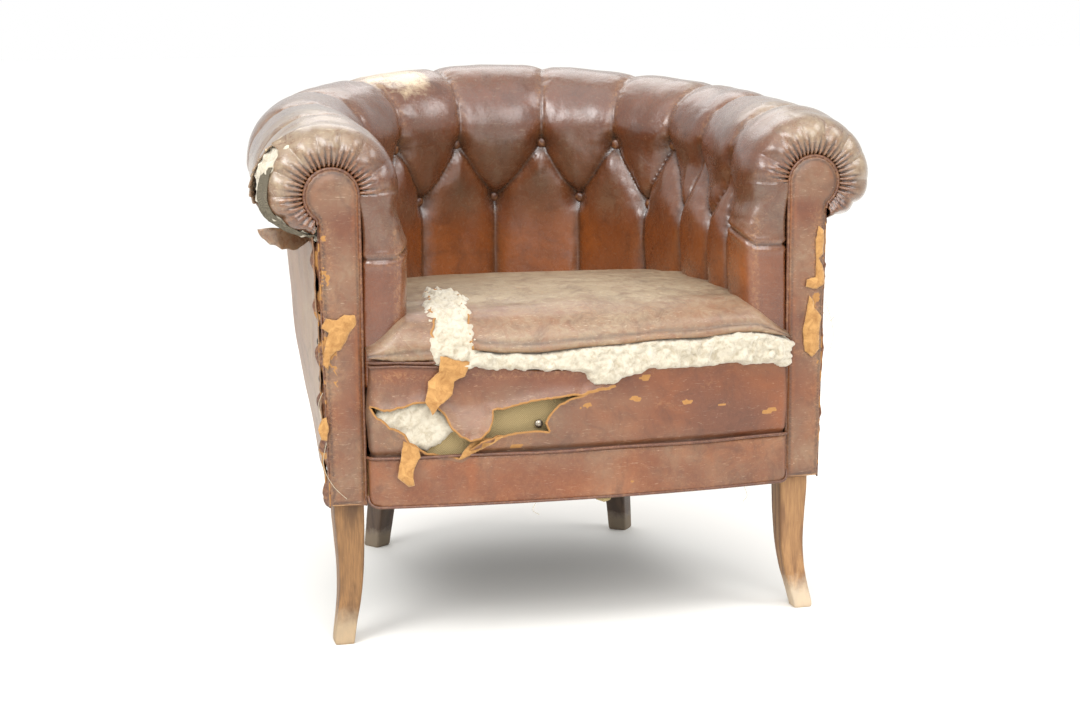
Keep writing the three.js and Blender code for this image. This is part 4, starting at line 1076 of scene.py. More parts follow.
class CHAIR_OT_seat(bpy.types.Operator):
    """Covers the sprung seat, with its nose torn open over the wadding"""

    bl_idname = "chair.seat"
    bl_label = "Sprung seat"

    def execute(self, context):
        sizes, colours = context.scene.chair_sizes, context.scene.chair_colours
        tear = ragged(SEAT_TEAR, 4.5, 6.5, 70)
        outline = ragged(seat_outline(), 6, 0.0, 71)
        lip_run = np.array([(x, np.interp(z, SEAT[:40, 1], SEAT_ALONG[:40])) for x, z in LIP])

        def laid(flat):
            near = edge_distance(tear, flat)
            base = on_seat(flat, np.zeros(len(flat)))
            out = rough_noise(base * (0.5, 1, 1), 48, 3, 72) * 2.6 + rough_noise(base * (0.35, 1, 1), 17, 3, 73) * 0.9
            out += 3.5 * np.exp(-near / 6)
            front = flat[:, 1] - np.interp(flat[:, 0], lip_run[:, 0], lip_run[:, 1])
            out += 2.0 * np.exp(-(((front - 5) / 5) ** 2)) - 1.8 * np.exp(-(((front - 12) / 3) ** 2))
            corner = np.exp(-(((flat[:, 0] + 240) / 34) ** 2))
            out += corner * (7.0 * np.exp(-(((flat[:, 1] - 48) / 30) ** 2))
                             + 1.3 * np.sin(flat[:, 0] / 1.9) * np.exp(-(((front - 4) / 13) ** 2)))
            return on_seat(flat, out)

        def marks(flat):
            base = on_seat(flat, np.zeros(len(flat)))
            near = edge_distance(tear, flat)
            front = flat[:, 1] - np.interp(flat[:, 0], lip_run[:, 0], lip_run[:, 1])
            top = smooth((flat[:, 1] - 62) / 90)
            sides = np.clip((np.abs(flat[:, 0]) - 150) / 110, 0, 1)
            return {
                "fade": np.clip(0.45 + top * (0.55 - 0.3 * sides) + rough_noise(base, 70, 4, 74) * 0.4, 0, 1),
                "warm": np.clip(0.5 * (1 - top) + 0.45 * rough_noise(base, 60, 3, 75), 0, 1),
                "worn": np.clip(np.exp(-near / 5) + 0.6 * np.exp(-front / 4) + 0.22
                                + 0.4 * smooth((rough_noise(base, 45, 4, 76) - 0.2) * 4), 0, 1),
                # Painted shade: dark in the groove behind the lip and where the sides run in under the arms.
                "fold": np.clip(0.7 * np.exp(-(((front - 11) / 2.5) ** 2))
                                + 0.5 * smooth((np.abs(flat[:, 0]) - 262) / 20),
                                0, 1),
                "suede": np.clip(1.2 * np.exp(-near / 1.6), 0, 1),
            }
        seat = cut_sheet("seat_leather", outline, [tear], 4.0, laid, sizes.leather, marks)
        hide = aged_leather("waxed hide, seat", colours, gloss=0.4)
        flesh = flesh_side("flesh side, seat")
        finish_piece(seat, [hide, flesh], "seat_leather", "seat_cover", "seat_wadding", "seat_stuffing")
        tufts = [(-200, 0), (-208, 40), (-202, 72), (-200, 120), (-190, 176), (-182, 212), (-154, 214), (-140, 188),
                 (-132, 140), (-138, 90), (-140, 0)]
        wadding_patch("seat_wadding_shown", tufts, lambda flat, out: on_seat(flat, out), colours, low=-9, rise=13,
                      amount=5.0, reach=11, seed=77, grain=13)
        edge = [(x, z + 1.5) for x, z in line_along([p for p in LIP if -148 < p[0] < 280], 4)]
        cord = piping("seat_lip_piping", on_front(np.array(edge), np.full(len(edge), 1.6)), 1.9 * MM)
        paint(cord, "worn", np.full(len(cord.data.vertices), 0.9))
        paint(cord, "warm", np.full(len(cord.data.vertices), 1.0))
        finish_piece(cord, hide, "seat_leather")
        return {"FINISHED"}


def flap(name, outline, out, hide, tan_out, spacing=3.0, seed=80, wave=2.0):
    """A torn tongue of hide hanging on the front; out gives its distance from the front at flat points."""
    def hang(flat):
        swing = out(flat) + wave * np.sin(flat[:, 1] / 9 + flat[:, 0] / 13)
        swing += rough_noise(raised(flat), 15, 2, seed) * 1.6
        return on_front(flat, swing)
    edge = ragged(outline, 3.5, 1.8, seed)
    piece = cut_sheet(name, edge, [], spacing, hang, FLAP_HIDE * MM, lambda flat: {
        "warm": np.full(len(flat), 0.45), "worn": 0.2 + 0.8 * np.exp(-edge_distance(edge, flat) / 4),
        "suede": 1.1 * np.exp(-edge_distance(edge, flat) / 1.5)})
    flesh = bpy.data.materials.get("flesh side, front") or flesh_side("flesh side, front")
    finish_piece(piece, [flesh, flesh] if tan_out else [hide, flesh], "front_leather")
    return piece


class CHAIR_OT_border(bpy.types.Operator):
    """Covers the front border and its lower band, torn open over hessian and wadding"""

    bl_idname = "chair.border"
    bl_label = "Front border and band"

    def execute(self, context):
        sizes, colours = context.scene.chair_sizes, context.scene.chair_colours
        hide = aged_leather("waxed hide, front", colours, gloss=0.4, flatten=0.3)
        flesh = flesh_side("flesh side, front")
        tear = ragged(BORDER_TEAR, 4, 2.6, 90)
        nicks = np.array([(-4, 304), (63, 308), (181, 293), (253, 281), (248, 279), (78, 335), (130, 300),
                          (-90, 256)])

        def bulge(flat):
            near = edge_distance(tear, flat)
            base = raised(flat)
            out = 3.5 * np.sin(np.pi * np.clip((flat[:, 1] - 240) / 112, 0, 1))
            out += rough_noise(base * (0.6, 1, 1), 40, 3, 91) * 1.6
            out += 5.5 * np.exp(-near / 7) * smooth((flat[:, 0] + 285) / 30)
            out -= 2.6 * np.exp(-(((flat[:, 1] - 249) / 4) ** 2))
            tongue = smooth((flat[:, 0] + 196) / 14) * smooth((-118 - flat[:, 0]) / 12)
            tongue *= smooth((316 - flat[:, 1]) / 40)
            out += 11 * tongue * (flat[:, 1] > 262)
            return on_front(flat, out)

        def marks(flat):
            base = raised(flat)
            near = edge_distance(tear, flat)
            nick = np.min(np.linalg.norm((flat[:, None] - nicks[None]) * (0.45, 1.3), axis=2), axis=1)
            return {
                "worn": np.clip(np.exp(-near / 4) + 0.08
                                + 0.4 * smooth((rough_noise(base * (0.5, 1, 1), 30, 4, 92) - 0.34) * 5)
                                + 0.7 * np.exp(-(((flat[:, 1] - 348) / 6) ** 2)), 0, 1),
                "fade": np.clip(0.1 + 0.45 * rough_noise(base * (0.5, 1, 1), 90, 3, 93), 0, 0.5),
                "warm": np.clip(0.45 + 0.5 * rough_noise(base, 80, 3, 94), 0, 1),
                # Painted shade: dark in the groove under the band's piping and at the ends turned back to the facings.
                "fold": np.clip(0.9 * np.exp(-(((flat[:, 1] - 247) / 3) ** 2))
                                + 0.6 * smooth((np.abs(flat[:, 0]) - 270) / 8), 0, 1),
                "suede": np.clip(1.2 * np.exp(-near / 1.8)
                                 + smooth((np.exp(-((nick / 5) ** 2)) + 0.6 * rough_noise(base, 5, 3, 89) - 0.55)
                                          * 6), 0, 1),
            }
        outline = ragged([(-289, 234), (289, 234)] + list(BORDER_TOP[::-1]), 6, 0.0, 95)
        border = cut_sheet("front_border_leather", outline, [tear], 3.0, bulge, sizes.leather, marks)
        finish_piece(border, [hide, flesh], "front_leather", "front_border_cover", "front_border_wadding",
                     "front_border_canvas")
        corner = np.radians(np.linspace(0, 90, 7))
        low_right = np.column_stack([267 + 14 * np.sin(corner), 197 - 14 * np.cos(corner)])
        rim = np.vstack([low_right, [(281, 245), (-281, 245)], (low_right * (-1, 1))[::-1]])

        def band_marks(flat):
            base = raised(flat)
            return {"worn": np.clip(0.2 + 0.7 * np.exp(-(245 - flat[:, 1]) / 4)
                                    + 0.5 * np.exp(-(flat[:, 1] - 183) / 5), 0, 1),
                    "warm": np.clip(0.55 + 0.5 * rough_noise(base, 80, 3, 96), 0, 1),
                    "fade": np.clip(0.1 + 0.4 * rough_noise(base, 60, 3, 97), 0, 0.5),
                    "suede": 0.9 * np.exp(-((np.hypot(flat[:, 0] - 59, flat[:, 1] - 200) / 3) ** 2))}
        band = cut_sheet("front_band_leather", ragged(rim, 5, 0.0, 98), [], 3.6,
                         lambda flat: on_front(flat, 2.6 + rough_noise(raised(flat), 50, 2, 99)),
                         sizes.leather, band_marks)
        finish_piece(band, [hide, flesh], "front_leather", "front_band_cover")
        cords = []
        top = line_along([(-281, 246.5), (281, 246.5)], 4)
        top[:, 1] += 0.7 * np.sin(top[:, 0] / 31)
        low = line_along(np.vstack([low_right[::-1], (low_right * (-1, 1))]), 4)
        for line, radius, out in ((top, 2.1, 4.0), (low, 1.9, 3.6),
                                  (line_along([(-279, 368), (-241, 368), (-205, 366), (-186, 367)], 4), 2.2, 2.0),
                                  (line_along([(-279, 362), (-241, 363), (-205, 361), (-150, 357)], 4), 2.0, 1.4)):
            cords.append(piping("front_piping", on_front(line, np.full(len(line), out)), radius * MM))
        cord = joined("front_piping", cords)
        paint(cord, "worn", np.full(len(cord.data.vertices), 0.5))
        finish_piece(cord, hide, "front_leather")
        # What the tears show.
        strip = [(-176, 352), (-152, 356), (-109, 352), (-75, 350), (-42, 348), (-7, 344), (2, 334), (12, 327),
                 (24, 325), (38, 329), (52, 338), (98, 344), (155, 343), (197, 344), (228, 341), (257, 339),
                 (283, 334), (294, 342), (292, 372), (281, 384), (261, 390), (231, 396), (201, 397), (94, 394),
                 (55, 391), (-64, 386), (-116, 388), (-149, 395), (-180, 390), (-190, 372)]

        def tucked(flat, out):
            lip = np.interp(flat[:, 0], *np.array(LIP).T)
            return on_front(flat, out - 16 * smooth((flat[:, 1] - lip + 7) / 9) * (flat[:, 0] < 285))
        wadding_patch("nose_wadding", strip, tucked, colours, low=-8, rise=19, amount=5.5, reach=10,
                      seed=100, grain=15)
        wadding_patch("border_wadding_shown",
                      [(-285, 290), (-262, 318), (-224, 322), (-200, 318), (-178, 300), (-160, 284),
                      (-180, 268), (-205, 252), (-236, 250), (-250, 270)], on_front, colours, low=-11, rise=12,
                      amount=3.4, reach=12, seed=104)
        cloth = woven_cloth("hessian, border", rgba(colours.hessian), rgba(linear("#8d784e")), 2.4)
        patch = cut_sheet("border_hessian", ragged([(-286, 238), (50, 238), (50, 332), (-286, 332)], 8, 0, 108),
                          [], 5.0, lambda flat: on_front(flat, -7.5 + 2.4 * rough_noise(raised(flat), 34, 3, 109)),
                          HESSIAN_THICK * MM)
        finish_piece(patch, [cloth, cloth], "hessian")
        deselect()
        bpy.ops.mesh.primitive_uv_sphere_add(segments=20, ring_count=10, radius=5.5 * MM, scale=(1, 0.6, 1),
                                             location=metres(on_front(np.array([(-63.0, 282.0)]),
                                                                      np.array([-3.0])))[0])
        bpy.ops.object.transform_apply(location=True, rotation=False, scale=True)
        stud = bpy.context.object
        stud.name = "border_stud"
        finish_piece(stud, plain_metal("stud, dulled nickel", "#b9b2a4", 0.4), "spring_steel")
        flap("tan_flap_nose",
             [(-189, 376), (-152, 366), (-159, 349), (-172, 344), (-175, 327), (-190, 317), (-201, 303),
              (-209, 320), (-204, 345), (-191, 356)],
             lambda f: 9 + 7 * smooth((370 - f[:, 1]) / 60) + 6 * smooth((335 - f[:, 1]) / 30),
             hide, True, seed=110, wave=3.2, spacing=2.4)
        flap("tan_flap_band",
             [(-237, 268), (-217, 258), (-216, 246), (-226, 231), (-225, 213), (-232, 211), (-245, 223), (-241, 247)],
             lambda f: 9.5 + 8 * smooth((250 - f[:, 1]) / 38), hide, True, seed=118, wave=3.0)
        flap("tan_scrap_border", [(-153, 262), (-135, 268), (-110, 270), (-128, 258), (-150, 247), (-168, 243)],
             lambda f: 6 + 0 * f[:, 0], hide, True, seed=121)
        scrap = cut_sheet("hessian_scrap", ragged([(8, 190), (34, 190), (31, 178), (22, 174), (12, 179)], 4, 1.5, 122),
                          [], 3.0, lambda flat: on_front(flat, -2 + rough_noise(raised(flat), 8, 2, 123) * 1.5),
                          SCRAP_THICK * MM)
        finish_piece(scrap, [cloth, cloth], "hessian")
        return {"FINISHED"}


# ------------------------------------------------------------------ facings, outside and their torn edges
def facing_edge():
    """The right facing's outline: a straight stem under a round head."""
    arc = np.radians(np.linspace(-56, 180, 48))
    head = np.column_stack([HEAD[0] + HEAD_R * np.cos(arc), HEAD[1] + HEAD_R * np.sin(arc)])
    return np.vstack([[(STEM_INNER, SKIRT_Z), (STEM_OUTER_LOW, SKIRT_Z), (STEM_OUTER_HIGH, 543)], head])


FACING_PATCHES = {
    "left": ([(327, 425), (333, 412), (324, 407), (329, 392), (332, 367), (325, 361), (322, 377), (315, 384),
              (309, 385), (298, 403), (289, 418), (291, 428), (303, 429), (314, 422), (322, 424)],
             [(335, 296), (329, 301), (326, 287), (329, 270), (337, 271), (340, 285)]),
    "right": ([(320, 519), (328, 513), (327, 482), (321, 476), (328, 464), (330, 442), (319, 436), (302, 440),
               (304, 449), (317, 452), (318, 476), (316, 501)],
              [(308, 428), (314, 421), (316, 412), (326, 399), (323, 378), (324, 356), (313, 346), (303, 354),
               (300, 379), (304, 403)]),
}


class CHAIR_OT_facings(bpy.types.Operator):
    """Covers the two facings, pipes their edges and frays the outer ones"""

    bl_idname = "chair.facings"
    bl_label = "Facings"

    def execute(self, context):
        sizes, colours = context.scene.chair_sizes, context.scene.chair_colours
        hide = aged_leather("waxed hide, facings", colours, gloss=0.42, flatten=0.4)
        flesh = flesh_side("flesh side, facings")
        outline = facing_edge()
        for word, side in (("left", -1), ("right", 1)):
            seed = 130 if word == "left" else 160
            outer = ragged([(STEM_OUTER_LOW + 0.5, SKIRT_Z + 2), (STEM_OUTER_HIGH, 543)], 3.5, 1.6, seed,
                           closed=False)
            shape = np.vstack([[(STEM_INNER, SKIRT_Z)], outer, ragged(outline[3:], 4, 0, seed, closed=False),
                               line_along([(282, 570), (STEM_INNER, SKIRT_Z + 6)], 6)])
            patches = [np.array(p, float) for p in FACING_PATCHES[word]]

            def lay(flat, side=side, shape=shape):
                near = edge_distance(shape, flat)
                rounded = 4.0 * (1 - np.sqrt(1 - (1 - np.clip(near / 5, 0, 1)) ** 2))
                pad = 2.6 * smooth(near / 16)
                base = raised(flat)
                y = 2.2 + rounded - pad + rough_noise(base, 30, 3, 131) * 0.5
                return np.column_stack([side * flat[:, 0], y, flat[:, 1]])

            def marks(flat, patches=patches, shape=shape):
                base = raised(flat)
                near = edge_distance(shape, flat)
                outer_side = smooth((flat[:, 0] - 305) / 18) * (flat[:, 1] < 545)
                rubbed = np.zeros(len(flat))
                for patch in patches:
                    rubbed = np.maximum(rubbed, np.exp(-edge_distance(patch, flat) / 4))
                return {"worn": np.clip(0.06 + 0.8 * np.exp(-near / 3.5) + outer_side * 0.45 + 0.8 * rubbed
                                        + 0.35 * smooth((rough_noise(base, 22, 4, 133) - 0.3) * 5), 0, 1),
                        # The last term is a painted highlight: lighter orange-brown along the inner edge, where light
                        # catches the rounded edge.
                        "warm": np.clip(0.25 + 0.5 * rough_noise(base, 70, 3, 134)
                                        + 0.9 * smooth((294 - flat[:, 0]) / 10), 0, 1),
                        "fade": np.clip(0.12 + 0.4 * rough_noise(base, 60, 3, 135), 0, 0.5),
                        # Painted shade: a dark ring in the groove just inside the piped edge.
                        "fold": 0.8 * np.exp(-((near - 5) / 1.8) ** 2),
                        "suede": np.clip(0.9 * (rough_noise(base * (1, 0.5, 1), 13, 4, seed + 3) > 0.30) * outer_side
                                         * (np.abs(flat[:, 1] - 430) < 105), 0, 1)}
            face = cut_sheet(f"facing_leather_{word}", shape, [], 2.8, lay, sizes.leather, marks)
            edge = line_along(np.vstack([[(STEM_INNER + 0.4, SKIRT_Z + 1)], outline[3:][::-1],
                                         [(STEM_OUTER_HIGH, 541)]]), 3.5)
            edge_line = np.column_stack([side * edge[:, 0], np.full(len(edge), 5.0), edge[:, 1]])
            cord = piping("cord", edge_line, 2.3 * MM)
            around = np.vstack([outline[1:], [(STEM_INNER, SKIRT_Z)]])
            run = line_along(around, 4)
            length = np.concatenate([[0], np.cumsum(np.linalg.norm(np.diff(run, axis=0), axis=1))])
            total = float(length[-1])
            torn = ragged([(355, 18), (330, 24), (0, 22)], 4, 4.5, seed + 2, closed=False)
            back_edge = np.vstack([line_along([(0, 4.5), (total, 4.5)], 5), [(total, 17.5)],
                                   line_along([(total, 17.5), (360, 17.5)], 6), torn])
            holes = []
            for k, (at, depth, size) in enumerate(((330, 15, 3.4), (283, 14, 4.2), (248, 16, 3.2), (196, 13, 4.6),
                                                   (158, 15, 4.0), (118, 14, 3.4), (76, 15, 3.0))):
                turn = np.linspace(0, 2 * np.pi, 11)[:-1]
                holes.append(np.column_stack([at + size * np.cos(turn) * 0.8, depth + size * np.sin(turn) * 0.6])
                             + 0.7 * np.sin(turn * 3 + k)[:, None])

            def side_wall(flat, side=side):
                x, z = np.interp(flat[:, 0], length, run[:, 0]), np.interp(flat[:, 0], length, run[:, 1])
                nx = np.interp(flat[:, 0] + 2, length, run[:, 1]) - np.interp(flat[:, 0] - 2, length, run[:, 1])
                nz = np.interp(flat[:, 0] - 2, length, run[:, 0]) - np.interp(flat[:, 0] + 2, length, run[:, 0])
                size = np.maximum(np.hypot(nx, nz), 1e-6)
                curl = 6.0 * smooth((flat[:, 1] - 15) / 9) * (flat[:, 0] < 352)
                lift = curl * (0.6 + 0.8 * np.sin(flat[:, 0] / 9.5)) + 0.6
                return np.column_stack([side * (x + nx / size * lift), flat[:, 1], z + nz / size * lift])

            def wall_marks(flat):
                torn_side = smooth((352 - flat[:, 0]) / 20)
                return {"worn": np.clip(0.3 + torn_side * 0.6, 0, 1),
                        "suede": np.clip(torn_side * 1.1 * (rough_noise(raised(flat), 12, 3, seed + 7) > 0.12), 0, 1)}
            wall = cut_sheet("wall", back_edge, holes, 2.8, side_wall, 1.6 * MM, wall_marks)
            for part in (face, wall, cord):
                part.data.materials.clear()
                part.data.materials.append(hide)
                part.data.materials.append(flesh)
            paint(cord, "worn", np.full(len(cord.data.vertices), 0.8))
            piece = joined(f"facing_leather_{word}", [face, wall, cord])
            indices = np.empty(len(piece.data.polygons), int)
            piece.data.polygons.foreach_get("material_index", indices)
            finish_piece(piece, [hide, flesh], "facing_leather", f"facing_cover_{word}")
            piece.data.polygons.foreach_set("material_index", np.clip(indices, 0, 1))
            for k, patch in enumerate(patches):
                def peel(flat, side=side, k=k, patch=patch):
                    near = edge_distance(patch, flat)
                    base = raised(flat)
                    y = -2.2 - 1.5 * smooth(near / 6) - 3.0 * np.abs(rough_noise(base, 17, 3, seed + 9 + k))
                    return np.column_stack([side * (flat[:, 0] + 1), y + 0.15 * np.maximum(flat[:, 0] - 326, 0),
                                            flat[:, 1]])
                bare = cut_sheet(f"facing_torn_{word}_{k + 1}", ragged(patch, 3, 1.6, seed + 20 + k), [], 2.2,
                                 peel, TORN_HIDE * MM)
                finish_piece(bare, [flesh, flesh], "facing_leather")
        tacks = []
        steel = plain_metal("tack steel", "#5d5852", 0.45)
        for side in (-1, 1):
            for z, y in ((512, 25), (470, 27), (428, 26), (392, 27), (345, 26), (318, 25), (262, 27)):
                deselect()
                x = STEM_OUTER_LOW + (z - SKIRT_Z) / 361 * 7 + 3.4
                bpy.ops.mesh.primitive_uv_sphere_add(segments=12, ring_count=6, radius=4.4 * MM)
                tack = bpy.context.object
                flat = np.empty(len(tack.data.vertices) * 3)
                tack.data.vertices.foreach_get("co", flat)
                flat = flat.reshape(-1, 3) / MM
                flat = np.column_stack([side * (x + flat[:, 0] * 0.34), y + flat[:, 1], z + flat[:, 2]])
                set_points(tack, flat)
                tacks.append(tack)
        finish_piece(joined("facing_tacks", tacks), steel, "spring_steel")
        return {"FINISHED"}


class CHAIR_OT_outside(bpy.types.Operator):
    """Stretches the outside panel round the arms and back"""

    bl_idname = "chair.outside"
    bl_label = "Outside panel"

    def execute(self, context):
        colours = context.scene.chair_colours
        piece, row, col = add_grid("outside_leather", OUTSIDE_ROWS, OUTSIDE_COLS)
        share = col / (OUTSIDE_COLS - 1)
        start = 15.0
        d = start + (ROUND - 2 * start) * row / (OUTSIDE_ROWS - 1)
        last_controls = np.array([TUB_CONTROLS[k, 15] for k in range(7, len(ROW_D) - 7)])
        top_z = np.interp(d, last_controls[:, 0], last_controls[:, 2]) + 5
        from_front = np.minimum(d, ROUND - d)
        top = round_tub(18, 34, 40, from_front) - 0.5
        middle = round_tub(15, 22, 26, from_front)
        bottom = round_tub(10, -8, 0, from_front)
        z = SKIRT_Z + (top_z - SKIRT_Z) * (1 - share)
        height = (z - SKIRT_Z) / (top_z - SKIRT_Z)
        off = np.where(height > 0.55, middle + (top - middle) * smooth((height - 0.55) / 0.45),
                       bottom + (middle - bottom) * smooth(height / 0.55))
        off = 0.5 * off + 0.5 * np.where(height > 0.55, middle + (top - middle) * (height - 0.55) / 0.45,
                                         bottom + (middle - bottom) * height / 0.55)
        flat = np.column_stack([d, z, np.zeros(len(d))])
        ripples = rough_noise(flat * (1, 0.45, 1), 75, 4, 200) * 3.0
        ripples += rough_noise(flat * (0.8, 0.5, 1), 24, 3, 201) * 0.8
        off = off + 2.0 + ripples * np.sin(np.pi * np.clip(height, 0, 1)) ** 0.6
        pinch = np.exp(-(top_z - z) / 30)
        off += pinch * 1.6 * np.sin(d / 8 + 3 * np.sin(d / 47))
        off -= 4.5 * np.exp(-(z - SKIRT_Z) / 2.5)
        # The front edges have come off their tacks and hang in tatters.
        near_front = np.exp(-(from_front - start) / 16)
        tatter = rough_noise(np.column_stack([z, z * 0, np.sign(d - HALF) * 40]), 22, 4, 202)
        inward = np.where(d < HALF, 1, -1)
        d = d + inward * near_front * (4 + 9 * tatter)
        off += near_front * (2.5 + 6 * np.abs(tatter))
        x, y, nx, ny = on_line(d)
        set_points(piece, np.column_stack([x + nx * off, y + ny * off, z]))
        # The last term is painted glare: the panel is paler on its left side, where the light falls strongest.
        paint(piece, "fade", 0.14 + 0.3 * rough_noise(flat, 130, 3, 203) + 0.34 * smooth((-x - 250) / 100))
        paint(piece, "worn", 0.1 + 0.8 * np.exp(-(from_front - start) / 9) + 0.6 * np.exp(-(z - SKIRT_Z) / 7)
              + 0.45 * (rough_noise(flat, 40, 4, 204) > 0.42))
        paint(piece, "suede", 1.1 * np.exp(-(from_front - start) / 5) * (tatter > -0.05))
        paint(piece, "warm", 0.3 + 0.4 * rough_noise(flat, 90, 3, 205))
        if piece.data.polygons[3000].normal.dot(Vector((nx[3000], ny[3000], 0))) < 0:
            in_edit_mode(piece, lambda: bpy.ops.mesh.flip_normals())
        solid = piece.modifiers.new("thickness", "SOLIDIFY")
        solid.thickness = OUTSIDE_HIDE * MM
        solid.offset = -1
        solid.material_offset = solid.material_offset_rim = 1
        apply_modifiers(piece)
        hide = aged_leather("waxed hide, outside", colours, gloss=0.45, flatten=0.5)
        finish_piece(piece, [hide, flesh_side("flesh side, outside")], "outside_leather", "outside_cover")
        return {"FINISHED"}


# ------------------------------------------------------------------ legs, underside and threads
FRONT_LEG = ((0, 11, -18, 24, 25), (6, 11, -18, 26, 27), (28, 7, -12, 27, 28), (55, 2, -7, 29, 30),
             (90, -1, -3, 32, 33), (130, -1, -1, 36, 37), (165, 0, 0, 39, 40), (189, 0, 0, 39, 40),
             (LEG_TOP, 0, 0, 39, 40))


def leg(name, centres, sizes, turn, material, slot, node_name):
    """A leg lofted through square sections with rounded corners."""
    around = np.linspace(0, 2 * np.pi, 41)[:-1]
    square = np.column_stack([np.sign(np.cos(around)) * np.abs(np.cos(around)) ** CORNER_POWER,
                              np.sign(np.sin(around)) * np.abs(np.sin(around)) ** CORNER_POWER])
    spin = np.array([[math.cos(turn), math.sin(turn)], [-math.sin(turn), math.cos(turn)]])
    levels = np.linspace(0, len(centres) - 1, 60)
    centres, sizes = catmull(np.array(centres, float), levels), catmull(np.array(sizes, float), levels)
    rings = []
    for k, (c, s) in enumerate(zip(centres, sizes)):
        eased = s / 2 * (0.93 if k == 0 else 1)
        ring = (square * eased) @ spin
        wobble = rough_noise(np.column_stack([ring, np.full(len(ring), c[2])]), 25, 2, 220) * 0.35
        ring = ring * (1 + wobble / np.maximum(s.mean(), 1))[:, None]
        rings.append(np.column_stack([ring + c[:2], np.full(len(ring), max(c[2], 0))]))
    points = np.vstack(rings)
    n = len(around)
    faces = [(a * n + k, a * n + (k + 1) % n, (a + 1) * n + (k + 1) % n, (a + 1) * n + k)
             for a in range(len(rings) - 1) for k in range(n)]
    faces += [tuple(range(n - 1, -1, -1)), tuple(range((len(rings) - 1) * n, len(rings) * n))]
    mesh = bpy.data.meshes.new(name)
    mesh.from_pydata(metres(points).tolist(), [], faces)
    piece = bpy.data.objects.new(name, mesh)
    bpy.context.scene.collection.objects.link(piece)
    in_edit_mode(piece, face_outwards)
    return finish_piece(piece, material, slot, node_name, angle=40)


class CHAIR_OT_legs(bpy.types.Operator):
    """Turns the four worn legs"""

    bl_idname = "chair.legs"
    bl_label = "Legs"

    def execute(self, context):
        colours = context.scene.chair_colours
        oak = worn_wood("worn oak", rgba(colours.oak), rgba(linear("#5a3d22")), rgba(linear("#b9a486")), 0.5, 34)
        pale_oak = worn_wood("worn oak, sunned", rgba(linear("#a67c50")), rgba(linear("#745032")),
                             rgba(linear("#d3c3aa")), 0.5, 30)
        dark = worn_wood("stained beech", rgba(linear("#54402f")), rgba(colours.stained), rgba(linear("#8d7f6c")),
                         0.4, 16)
        for word, side, wood in (("left", -1, oak), ("right", 1, pale_oak)):
            centres = [(side * (300.5 + out), 40.5 + back, z) for z, out, back, _, _ in FRONT_LEG]
            leg(f"front_leg_shaped_{word}", centres, [(w, d) for _, _, _, w, d in FRONT_LEG], 0.0, wood,
                "front_leg_wood", f"front_leg_{word}")
            lean = math.radians(37)
            levels = (0, 60, 130, 190, LEG_TOP)
            centres = [(side * (168 + 40 * math.sin(lean) * (1 - z / LEG_TOP)),
                        458 + 40 * math.cos(lean) * (1 - z / LEG_TOP), z) for z in levels]
            widths = [(29 + 11 * z / LEG_TOP, 29 + 11 * z / LEG_TOP) for z in levels]
            leg(f"rear_leg_shaped_{word}", centres, widths, -side * lean, dark, "rear_leg_wood", f"rear_leg_{word}")
        return {"FINISHED"}


class CHAIR_OT_underside(bpy.types.Operator):
    """Finishes the frame, springs, webbing and bottom cloth, which stay as the frame has them"""

    bl_idname = "chair.underside"
    bl_label = "Frame and underside"

    def execute(self, context):
        beech = worn_wood("sawn beech", rgba(linear("#c9a273")), rgba(linear("#a37b4d")), rgba(linear("#d8c3a0")),
                          0.7, 1)
        steel = plain_metal("spring steel", "#6f6a63", 0.4)
        jute = woven_cloth("jute webbing", rgba(linear("#a58f63")), rgba(linear("#6d5a38")), 3.5)
        canvas = woven_cloth("spring canvas", rgba(linear("#a39a66")), rgba(linear("#6b6340")), 2.2)
        cambric = woven_cloth("bottom cambric", rgba(linear("#3a332d")), rgba(linear("#1e1a17")), 1.4)
        for name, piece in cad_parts.items():
            for words, material in ((("rail", "post", "board"), beech), (("spring",), steel), (("webbing",), jute),
                                    (("canvas",), canvas), (("bottom_cloth",), cambric)):
                if any(word in name for word in words):
                    for slot in piece.material_slots:
                        slot.material = material
        return {"FINISHED"}


class CHAIR_OT_threads(bpy.types.Operator):
    """Hangs the few loose threads at the torn edges"""

    bl_idname = "chair.threads"
    bl_label = "Loose threads"

    def execute(self, context):
        material, tree = new_material("linen thread")
        where = node(tree, "ShaderNodeTexCoord").outputs["Object"]
        colour = mix(tree, noise(tree, where, 6), rgba(linear("#cfc7b2")), rgba(linear("#8f8468")))
        finish_material(tree, node(tree, "ShaderNodeBsdfPrincipled", {"Base Color": colour, "Roughness": 0.9}))
        runs = [[(-331, -2, 268), (-336, -6, 240), (-325, -9, 214), (-308, -10, 196)],
                [(-333, 6, 330), (-339, 0, 318), (-337, -4, 300)],
                [(331, -3, 420), (339, -5, 396), (342, -7, 372), (335, -6, 348)],
                [(331, 2, 404), (338, 0, 392), (345, -2, 398)],
                [(-70, -34, 181), (-74, -36, 172), (-66, -37, 166)],
                [(214, -24, 182), (217, -27, 170), (211, -28, 163)]]
        pieces = []
        for run in runs:
            line = catmull(np.array(run, float), np.linspace(0, len(run) - 1, 24))
            pieces.append(piping("thread", line, 0.35 * MM, sides=1))
        finish_piece(joined("frayed_threads", pieces), material, "hessian")
        return {"FINISHED"}


# Each lamp's place and target in metres, its watts and its size in metres.
LAMPS = (((-1.9, -1.5, 2.3), (0, 0, 0.5), 34, 1.1), ((1.7, -1.0, 2.5), (0, 0, 0.5), 20, 1.1),
         ((0.1, 1.7, 2.5), (0, 0, 0.6), 14, 1.6), ((0.1, -3.1, 2.1), (0, 0, 0.5), 46, 1.9))


